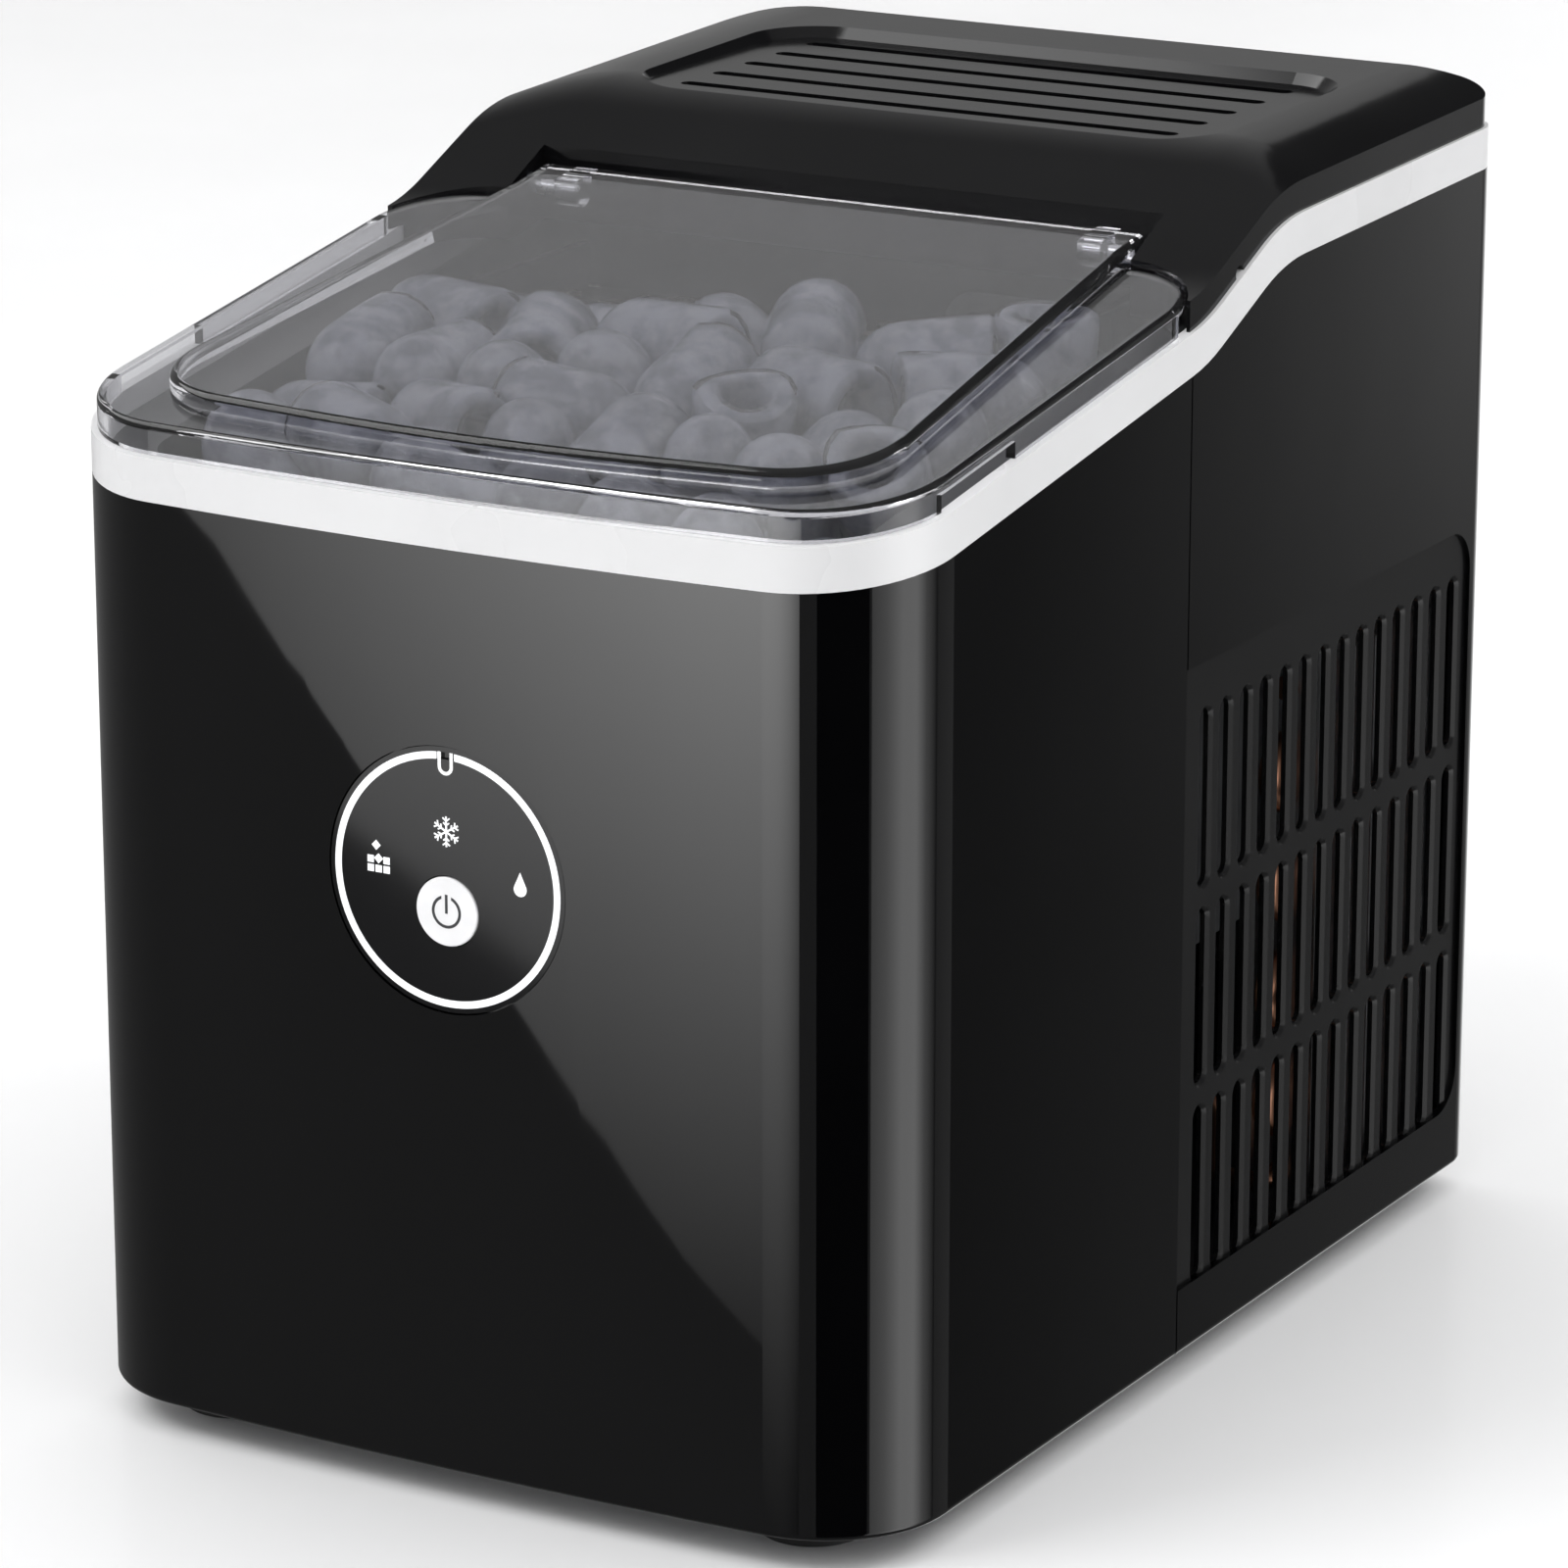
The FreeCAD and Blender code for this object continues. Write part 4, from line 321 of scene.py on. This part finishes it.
def circuit_board(name):
    """Lacquer in two greens, laid out as rows of tracks, with the tracks a hair proud."""
    finish = Finish(name)
    tracks = finish.node("ShaderNodeTexBrick", {"offset": 0.37}, {
        "Vector": finish.place, "Scale": 95.0, "Mortar Size": 0.03, "Mortar": rgba((0, 0, 0)),
        "Color1": rgba((1, 1, 1)), "Color2": rgba((0.2, 0.2, 0.2))})
    level = finish.node("ShaderNodeRGBToBW", None, {"Color": tracks})
    green = finish.blend(level, (0.006, 0.075, 0.03), (0.02, 0.16, 0.07))
    return finish.done(finish.coat(Base_Color=green, Roughness=0.34 - level * 0.1,
                                   Normal=finish.bump(level, 0.00003)))


# The white ink gets a painted glow of 0.35, an emission that no lamp gives.
finishes["print_white"] = printed("print_white", (0.86, 0.87, 0.88), 0.35)
finishes["print_grey"] = printed("print_grey", (0.035, 0.036, 0.04), 0.0)
finishes["board_green"] = circuit_board("board_green")
print("with prints and boards", len(finishes), "finishes")

# %% [markdown]
# ## Smoked clear plastic
# The lid is clear acrylic with a little soot-grey dye. Real refraction draws the bright and
# dark lines along its rounded edges, so it is full glass and not just see-through paint.
# Glass casts a dark shadow in a path tracer, which real acrylic doesn't, so shadow rays get
# a plain Transparent shader of the same tint instead.


# %% Smoked plastic
def smoked(name, tint, shade, roughness):
    """Glass of the given tint; lamps see a clear sheet that passes the shade."""
    finish = Finish(name)
    haze = finish.noise(26, detail=2).smoothly(0.3, 0.8)
    glass = finish.coat(
        Base_Color=finish.blend(haze, tint, tuple(c * 0.96 for c in tint)),
        Roughness=haze * 0.015 + roughness, IOR=1.49, Transmission_Weight=0.995,
        Normal=finish.bump(finish.noise(30, detail=1), 0.00002))
    lamps = finish.node("ShaderNodeBsdfTransparent", None, {"Color": rgba(shade)})
    is_shadow = finish.node("ShaderNodeLightPath", out="Is Shadow Ray")
    return finish.done(finish.node("ShaderNodeMixShader", None,
                                   {0: is_shadow, 1: glass, 2: lamps}))


finishes["smoked_clear"] = smoked("smoked_clear", (0.66, 0.66, 0.68), (0.8, 0.8, 0.81), 0.012)
print("lid finish", finishes["smoked_clear"].name)

# %% [markdown]
# ## Every piece gets its finish
# The record says which finish each piece is moulded, plated or printed in. A few are set
# apart: the rear cover and the vents come from moulds that are less polished than the
# casing's, the cold return tube wears a black foam sleeve, and the gearmotor is dark.

# %% Give the finishes out
OWN_FINISH = {
    "top_cover": "cover_black",
    "vent_panel_left": "vent_black",
    "vent_panel_right": "vent_black",
    "vent_panel_rear": "vent_black",
    "suction_tube": "rubber_black",
    "tray_gearmotor": "satin_black",
}
for part in frame["record"]["subparts"]:
    piece = nodes[part["node"]]
    chosen = OWN_FINISH.get(part["node"], part["material_slot"])
    piece.data.materials.clear()
    piece.data.materials.append(finishes[chosen])

# %% [markdown]
# ## The ice
# The machine freezes hollow bullets of ice round metal fingers, so each has a domed end, an
# open end with a thick lip and a finger-shaped hole. The heap comes from a small settling
# sum: each bullet is a stick with a ball at both ends, the balls sink, push each other
# apart and stay inside the basket and under the lid, and the stick keeps its length. Each
# bullet is two closed surfaces: a clear skin, and a milky core just under it.

# %% Room for the ice
BULLET_RADIUS = 0.0124
BULLET_LENGTH = 0.037
BULLET_COUNT = 146
LID_CLEARANCE = 0.0056
BASKET_WALL = 0.0025
SPREAD = 0.007             # the heap may spread by this much above the basket's rim
SINK = 0.0003              # how far a bullet sinks in one step, at first
SHARE = 0.3                # how much of an overlap one step takes away
basket_low, basket_high = (np.array(corner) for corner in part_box("ice_basket"))
frame_low, frame_high = (np.array(corner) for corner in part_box("evaporator_frame"))
bar_y = frame_low[1] + 0.011
basket_half = basket_high[0] - BASKET_WALL - 0.004
OBSTACLES = np.array([
    [[-0.2, basket_high[1] + 0.0015, 0.0], [0.2, 0.2, basket_high[2] + 0.0025]],
    [[-0.2, bar_y, 0.0], [0.2, 0.2, 0.4]],
    [[frame_high[0] - 0.0035, frame_low[1] - 0.0005, 0.0],
     [frame_high[0] + 0.0005, 0.2, frame_high[2] + 0.0005]],
])
print("basket is", np.round(basket_high - basket_low, 3))


# %% Settle the heap
LID_LOW_Z = 0.2490         # underside of the lid's raised middle where y is LID_LOW_Y
LID_LOW_Y = -0.160
LID_SLOPE = 0.1495


def lid_height(y):
    """Underside of the lid's raised middle: a plane that rises with y."""
    return LID_LOW_Z + LID_SLOPE * (y - LID_LOW_Y)


def keep_in(balls, radius):
    """Clamps ball centres to the basket and the lid, and pushes them out of the obstacles."""
    above = np.clip((balls[:, 2] - basket_high[2]) / 0.006, 0, 1)
    side = basket_half + above * SPREAD - radius
    balls[:, 0] = np.clip(balls[:, 0], -side, side)
    front = basket_low[1] + 0.0065 - above * SPREAD + radius
    balls[:, 1] = np.maximum(balls[:, 1], front)
    balls[:, 2] = np.maximum(balls[:, 2], basket_low[2] + 0.002 + radius)
    for near, far in OBSTACLES:
        away = balls - np.clip(balls, near, far)
        gap = np.linalg.norm(away, axis=1)
        inside = gap < 1e-9
        push = np.where(~inside & (gap < radius), (radius - gap) / np.maximum(gap, 1e-9), 0)
        balls += away * push[:, None]
        upwards = inside & (far[2] - balls[:, 2] < balls[:, 1] - near[1])
        balls[:, 2] = np.where(upwards, far[2] + radius, balls[:, 2])
        balls[:, 1] = np.where(inside & ~upwards, near[1] - radius, balls[:, 1])
    ceiling = lid_height(balls[:, 1]) - LID_CLEARANCE - radius
    balls[:, 2] = np.minimum(balls[:, 2], ceiling)


def settle(count, steps, seed):
    """Two balls per bullet sink each step, then give way to neighbours, walls and lid.

    The heading's tiny share keeps a stick's length from ever being 0."""
    draw = np.random.default_rng(seed)
    reach = BULLET_LENGTH / 2 - BULLET_RADIUS
    spot = draw.random((count, 3))
    middle = spot * (0.15, 0.135, 0.11) + (-0.075, -0.125, 0.15)
    heading = draw.normal(size=(count, 3)) * (1.0, 1.0, 0.6)
    heading /= np.linalg.norm(heading, axis=1)[:, None]
    size = 0.9 + 0.1 * draw.random(count)
    ends = np.stack([middle - heading * reach, middle + heading * reach], axis=1)
    owner = np.repeat(np.arange(count), 2)
    strangers = owner[:, None] != owner[None, :]
    radius = np.repeat(BULLET_RADIUS * size, 2)
    touch = radius[:, None] + radius[None, :]
    for step in range(steps):
        balls = ends.reshape(-1, 3)
        balls[:, 2] -= SINK * (1 - step / steps) + 0.00001
        gap = balls[:, None] - balls[None, :]
        apart = np.linalg.norm(gap, axis=2) + 1e-9
        press = np.clip(touch - apart, 0, None) * strangers
        balls += SHARE * (gap / apart[..., None] * press[..., None]).sum(axis=1)
        keep_in(balls, radius)
        along = ends[:, 1] - ends[:, 0] + 1e-6 * heading
        half = along / np.linalg.norm(along, axis=1)[:, None] * reach * size[:, None]
        centre = ends.mean(axis=1)
        ends = np.stack([centre - half, centre + half], axis=1)
    return ends, size


heap, sizes = settle(BULLET_COUNT, 280, seed=7)
print("heap reaches", np.round(heap.reshape(-1, 3).max(0), 3))


# %% Shape the bullets
def bullet_profile():
    """(height, radius) from the dome's tip, down the outside, over the lip and up the hole."""
    radius = BULLET_RADIUS
    neck = 0.97            # the dome is this much narrower than the nominal radius
    dome = np.linspace(0, math.pi / 2, 7)
    tip = BULLET_LENGTH - radius
    outside = [(tip + radius * math.cos(a), radius * neck * math.sin(a)) for a in dome]
    wall = [(tip * s, radius * (neck + 0.05 * (1 - s))) for s in (0.75, 0.5, 0.25, 0.08)]
    lip = [(0.0006, radius * 0.95), (0.0, radius * 0.8), (0.0008, radius * 0.55)]
    hole = [(0.004, radius * 0.44), (0.014, radius * 0.4), (0.021, radius * 0.3),
            (0.0235, radius * 0.14), (0.0242, 0.0)]
    return np.array(outside + wall + lip + hole)


def inset_profile(profile, inset):
    """Moves the profile into the ice: each point goes inset against the outline's normal."""
    along = np.gradient(profile, axis=0)
    normal = np.stack([along[:, 1], -along[:, 0]], axis=1)
    normal /= np.linalg.norm(normal, axis=1)[:, None]
    moved = profile - normal * inset
    moved[:, 1] = np.where(profile[:, 1] < 1e-9, 0, np.maximum(moved[:, 1], 0.0002))
    return moved


def bullets(balls, size, seed, profile, around=20):
    """Turns the profile about each stick's axis, with a slow wobble so no two are alike.

    A point is centre + axis * height + radius * (side * cos u + up * sin u)."""
    draw = np.random.default_rng(seed)
    count, rows = len(balls), len(profile)
    axis = balls[:, 1] - balls[:, 0]
    axis /= np.linalg.norm(axis, axis=1)[:, None]
    flip = draw.random(count) < 0.5
    axis[flip] *= -1
    size = size[:, None, None]
    centre = balls.mean(axis=1) - axis * size[:, 0] * BULLET_LENGTH / 2
    helper = np.where(np.abs(axis[:, 2:3]) < 0.8, [[0.0, 0.0, 1.0]], [[1.0, 0.0, 0.0]])
    side = np.cross(helper, axis)
    side /= np.linalg.norm(side, axis=1)[:, None]
    up = np.cross(axis, side)
    turn = np.linspace(0, 2 * math.pi, around, endpoint=False)
    phase = draw.random((count, 3, 1, 1)) * 2 * math.pi
    u = turn[None, None, :]
    v = (profile[:, 0] / BULLET_LENGTH)[None, :, None]
    wobble = 1 + 0.03 * np.sin(2 * u + phase[:, 0]) + 0.02 * np.sin(3 * u + 5 * v + phase[:, 1])
    radius = profile[None, :, 1:2] * wobble * size
    height = profile[None, :, 0:1] * size + 0 * u
    points = (centre[:, None, None] + axis[:, None, None] * height[..., None]
              + side[:, None, None] * (radius * np.cos(u))[..., None]
              + up[:, None, None] * (radius * np.sin(u))[..., None])
    index = np.arange(count * rows * around).reshape(count, rows, around)
    across = np.roll(index, -1, axis=2)
    faces = np.stack([index[:, :-1], index[:, 1:], across[:, 1:], across[:, :-1]], axis=-1)
    return points.reshape(-1, 3), faces.reshape(-1, 4)


def close_poles(mesh):
    """Merges the points that share a place, such as a dome's tip, and turns faces outwards."""
    work = bmesh.new()
    work.from_mesh(mesh)
    bmesh.ops.remove_doubles(work, verts=work.verts, dist=1e-6)
    bmesh.ops.recalc_face_normals(work, faces=work.faces)
    work.to_mesh(mesh)
    work.free()


def trim(points, margin):
    """Flattens what pokes out under the lid, or over the basket's low rear wall."""
    rear = basket_high[1] + 0.001 - margin
    low_down = points[:, 2] < basket_high[2] + 0.0015
    points[:, 1] = np.where(low_down, np.minimum(points[:, 1], rear), points[:, 1])
    points[:, 2] = np.minimum(points[:, 2], lid_height(points[:, 1]) - LID_CLEARANCE - margin)


def ice_piece(name, profile, margin):
    """One mesh of all the bullets with that profile, which rides in the basket."""
    points, faces = bullets(heap, sizes, seed=11, profile=profile)
    trim(points, margin)
    mesh = bpy.data.meshes.new(name)
    mesh.from_pydata(points.tolist(), [], faces.tolist())
    piece = bpy.data.objects.new(name, mesh)
    bpy.context.scene.collection.objects.link(piece)
    close_poles(mesh)
    mesh.polygons.foreach_set("use_smooth", [True] * len(mesh.polygons))
    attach(piece, "ice_basket")
    print(name, len(mesh.vertices), "points,", len(mesh.polygons), "faces")
    return piece


CORE_INSET = 0.0017
ice = ice_piece("ice_heap", bullet_profile(), 0.0)
core = ice_piece("ice_core", inset_profile(bullet_profile(), CORE_INSET), CORE_INSET / 2)


# %% Ice finishes
def clear_ice(name):
    """The clear skin: glass with a wet, slightly wavy surface."""
    finish = Finish(name)
    cloud = finish.noise(70, detail=3).smoothly(0.42, 0.75)
    skin = finish.bump(finish.noise(230, detail=3), 0.00008)
    return finish.done(finish.coat(
        Base_Color=finish.blend(cloud, (0.86, 0.88, 0.95), (0.95, 0.96, 1.0)),
        Roughness=cloud * 0.05 + 0.01, IOR=1.31, Transmission_Weight=0.96, Normal=skin))


def milky_ice(name):
    """The core froze fast and holds fine bubbles, so it is pale and cracked."""
    finish = Finish(name)
    cloud = finish.noise(110, detail=4).smoothly(0.35, 0.65)
    cracks = finish.bump(finish.noise(330, detail=4), 0.0006)
    return finish.done(finish.coat(
        Base_Color=finish.blend(cloud, (0.36, 0.37, 0.44), (0.8, 0.81, 0.88)),
        Roughness=cloud * 0.1 + 0.3, IOR=1.31, Transmission_Weight=0.35, Normal=cracks))


ice.data.materials.append(clear_ice("clear_ice"))
core.data.materials.append(milky_ice("milky_ice"))

# %% [markdown]
# ## The studio
# A glossy black machine is drawn by what it reflects, so the studio has two layers. A pale
# round floor that curves up into a wall, and a white sky, light everything softly. Mirror
# rays don't see either: they see a dim dome and a few softly glowing cards, placed where
# the camera finds them in the casing. None of it belongs to the machine.

# %% Floor and sky
FLOOR_RADIUS = 3.4
FLOOR_BEND = 1.1
FLOOR_WALL = 1.6


def grid_mesh(name, points, closed_around=True):
    """Quads over a rows-by-columns grid of points; the columns may close into a ring."""
    rows, columns = points.shape[:2]
    index = np.arange(rows * columns).reshape(rows, columns)
    across = np.roll(index, -1, axis=1)
    if not closed_around:
        index, across = index[:, :-1], across[:, :-1]
    quads = np.stack([index[:-1], index[1:], across[1:], across[:-1]], axis=-1)
    made = bpy.data.meshes.new(name)
    made.from_pydata(points.reshape(-1, 3).tolist(), [], quads.reshape(-1, 4).tolist())
    made.polygons.foreach_set("use_smooth", [True] * len(made.polygons))
    thing = bpy.data.objects.new(name, made)
    bpy.context.scene.collection.objects.link(thing)
    return thing


def turned(name, profile, around=96):
    """A profile of (radius, height) pairs turned about the vertical axis."""
    profile = np.array(profile)
    u = np.linspace(0, 2 * math.pi, around, endpoint=False)
    radius, height = profile[:, :1], profile[:, 1:]
    points = np.stack([radius * np.cos(u), radius * np.sin(u), height + 0 * u], axis=-1)
    return grid_mesh(name, points)


bend = np.linspace(0, math.pi / 2, 12)
floor_profile = [(0.0005, 0.0), (0.5, 0.0), (FLOOR_RADIUS, 0.0)]
floor_profile += [(FLOOR_RADIUS + FLOOR_BEND * math.sin(a), FLOOR_BEND * (1 - math.cos(a)))
                  for a in bend[1:]]
floor_profile += [(FLOOR_RADIUS + FLOOR_BEND, FLOOR_BEND + FLOOR_WALL)]
floor = turned("studio_floor", floor_profile)


def studio_paper():
    """Pale, faintly mottled and a little glossy, so that the machine is mirrored at its feet."""
    finish = Finish("studio_paper")
    mottle = finish.noise(6, detail=2)
    white = finish.blend(mottle, (0.9, 0.9, 0.905), (0.93, 0.93, 0.935))
    return finish.done(finish.coat(Base_Color=white, Roughness=mottle * 0.05 + 0.2))


floor.data.materials.append(studio_paper())

sky = bpy.data.worlds.new("studio_sky")
sky.use_nodes = True
bpy.context.scene.world = sky
SKY_STRENGTH = 1.36
sky.node_tree.nodes["Background"].inputs["Color"].default_value = (1.0, 1.0, 1.0, 1.0)
sky.node_tree.nodes["Background"].inputs["Strength"].default_value = SKY_STRENGTH
sky.cycles_visibility.glossy = False

# %% Dome that only mirror rays see
def mirror_only(thing):
    """Leaves a stage piece out of everything but reflections."""
    thing.visible_camera = False
    thing.visible_diffuse = False
    thing.visible_transmission = False
    thing.visible_volume_scatter = False
    thing.visible_shadow = False


def dome_glow():
    """Brightness by height: dim below the table, brightest a little above eye level."""
    finish = Finish("dome_glow")
    way = finish.node("ShaderNodeVectorMath", {"operation": "NORMALIZE"}, {0: finish.place})
    height = finish.node("ShaderNodeSeparateXYZ", None, {0: way}, out="Z")
    level = finish.node("ShaderNodeValToRGB", {"stops": [
        (0.0, (0.12,) * 3), (0.36, (0.2,) * 3), (0.5, (0.26,) * 3), (0.64, (0.3,) * 3),
        (0.76, (0.26,) * 3), (0.87, (0.14,) * 3), (1.0, (0.3,) * 3)]},
        {"Fac": height * 0.5 + 0.5})
    return finish.done(finish.node("ShaderNodeEmission", None, {"Color": level}))


DOME_RADIUS = 8.0
arc = np.linspace(-math.pi / 2 + 0.001, math.pi / 2 - 0.001, 40)
dome = turned("studio_dome", [(DOME_RADIUS * math.cos(a), DOME_RADIUS * math.sin(a)) for a in arc])
dome.data.materials.append(dome_glow())
mirror_only(dome)
floor.visible_glossy = False


def card(name, points, glows):
    """A thin glowing sheet through a grid of points, with a brightness at each of them."""
    thing = grid_mesh(name, points, closed_around=False)
    glow = thing.data.attributes.new("glow", "FLOAT", "POINT")
    glow.data.foreach_set("value", np.asarray(glows, np.float32).ravel())
    finish = Finish(name)
    level = finish.node("ShaderNodeAttribute", {"attribute_name": "glow"}, out="Fac")
    thing.data.materials.append(finish.done(finish.node(
        "ShaderNodeEmission", None, {"Color": rgba((1, 1, 1)), "Strength": level})))
    mirror_only(thing)
    return thing


# %% [markdown]
# ## Cards that shape the reflections
# A card is easiest to place backwards: choose where its mirror image should lie on the
# machine, send a line from the camera to that spot, let it bounce, and put the card where
# the line ends up. The front bows outwards a little, so its facing direction changes from
# side to side, and the bounce has to take that into account.

# %% Where a mirror line goes
FRONT = float(low[1])
SIDE = float(high[0])
CORNER_X = SIDE - 0.032    # where the flat front ends and the round corner begins
BOW_RADIUS = 1.601
CARD_Y = -1.2


def bounce(points, facing):
    """Directions of the lines from the camera after they bounce at the points.

    A line d that meets a face with direction n goes on as d - 2 (d . n) n."""
    ray = points - np.array(CAMERA_PLACE)
    ray /= np.linalg.norm(ray, axis=-1, keepdims=True)
    facing = facing / np.linalg.norm(facing, axis=-1, keepdims=True)
    return ray - 2 * (ray * facing).sum(axis=-1, keepdims=True) * facing


def mirrored_in_front(x, z, card_y=CARD_Y):
    """Where the camera's line ends on the plane y = card_y after it bounces at (x, z)."""
    points = np.stack([x, FRONT + x * x / (2 * BOW_RADIUS), z], axis=-1)
    facing = np.stack([x / BOW_RADIUS, -np.ones_like(x), 0 * x], axis=-1)
    way = bounce(points, facing)
    return points + way * ((card_y - points[..., 1:2]) / way[..., 1:2])


def mirrored_in_side(y, z, card_x=1.2):
    """The same for the right-hand side, on the plane x = card_x."""
    points = np.stack([0 * y + SIDE, y, z], axis=-1)
    facing = np.stack([1 + 0 * y, 0 * y, 0 * y], axis=-1)
    way = bounce(points, facing)
    return points + way * ((card_x - points[..., 0:1]) / way[..., 0:1])


def around_machine(turns, lifts, distance=3.0):
    """Points at that distance, turn degrees round from straight in front and lift degrees up."""
    turn, lift = np.radians(np.meshgrid(turns, lifts))
    return distance * np.stack([np.sin(turn) * np.cos(lift), -np.cos(turn) * np.cos(lift),
                                np.sin(lift)], axis=-1)


# %% [markdown]
# ## One card per reflection
# The front shows a light patch with a slanting left edge. The round corner shows a black
# line and then a bright streak, and the rear corner a thin bright line. The cover is nearly
# black on its flat parts, and the ice and the lid's edges sparkle.

# %% The slanting card in the front
share, depth = np.meshgrid(np.linspace(0, 1, 13), np.linspace(0, 1, 13))
LIGHT_TOP = 0.262          # the light patch runs from here
LIGHT_HEIGHT = 0.236       # down by this much
SLANT_X = -0.065           # its slanting edge passes this x at the height SLANT_Z
SLANT_Z = 0.226
SLANT = 0.824              # and moves right by this much per metre down
card_z = LIGHT_TOP - depth * LIGHT_HEIGHT
slant_x = SLANT_X + (SLANT_Z - card_z) * SLANT
card_x = slant_x + share * (CORNER_X - slant_x)
front_points = mirrored_in_front(card_x, card_z)
turn_on = np.radians([-16.0, -8.0, 0.0, 8.0])
beyond = np.repeat(front_points[:, -1:], len(turn_on), axis=1)
beyond[..., 0] = CORNER_X + np.tan(turn_on) * (FRONT - CARD_Y)
height_share = np.clip((card_z - 0.02) / 0.21, 0.03, 1.1)
across_share = np.clip((card_x + 0.075) / 0.15, 0.0, 1.0)
front_glow = (0.9 + 3.4 * across_share) * height_share ** 1.65 + 0.18
front_glow = np.concatenate([front_glow, front_glow[:, -1:] * [1.0, 0.9, 0.7, 0.4]], axis=1)
card("front_card", np.concatenate([front_points, beyond], axis=1), front_glow)

# %% Strips for the corners, the cover, the ice and the side
lifts = np.linspace(-45, 12, 5)
dark_turns = [22, 42, 62]
card("dark_strip", around_machine(dark_turns, lifts), np.zeros((5, 3)))
streak_turns = [64, 76, 90, 103, 113, 126]
streak = np.array([0.9, 1.4, 2.5, 2.4, 0.9, 0.06])
card("corner_strip", around_machine(streak_turns, lifts), np.tile(streak, (5, 1)))
rear_turns = [166, 176, 190, 204]
rear_strip = np.array([0.1, 0.9, 1.0, 0.3])
card("rear_strip", around_machine(rear_turns, lifts), np.tile(rear_strip, (5, 1)))
cover_turns = [148, 166, 182, 198]
card("cover_card", around_machine(cover_turns, np.linspace(19, 50, 5)), np.full((5, 4), 0.03))
spark_turns = [250, 275, 300, 325]
card("spark_card", around_machine(spark_turns, np.linspace(32, 66, 5)), np.full((5, 4), 3.0))
side_y, side_z = np.meshgrid(np.linspace(-0.14, 0.19, 9), np.linspace(-0.03, 0.31, 7))
rear_share = np.clip((side_y + 0.13) / 0.29, 0, 1)
top_share = np.clip((side_z - 0.13) / 0.16, 0, 1)
side_glow = 0.05 + 0.1 * rear_share + 0.4 * rear_share ** 2 * top_share
card("side_card", mirrored_in_side(side_y, side_z), side_glow)
print("cards are up")

# %% Lamps
def softbox(name, place, aim, size, power):
    """A square lamp of that size, in metres, aimed at a point."""
    lamp = bpy.data.lights.new(name, "AREA")
    lamp.shape = "SQUARE"
    lamp.size = size
    lamp.energy = power
    thing = bpy.data.objects.new(name, lamp)
    thing.location = place
    thing.rotation_euler = (Vector(aim) - Vector(place)).to_track_quat("-Z", "Y").to_euler()
    thing.visible_glossy = False
    bpy.context.scene.collection.objects.link(thing)
    return thing


softbox("key_lamp", (-0.9, -1.3, 1.9), (0, 0, 0.15), 0.9, 14)
softbox("rim_lamp", (1.3, 0.9, 1.5), (0, 0, 0.2), 0.7, 7)
print("studio ready")
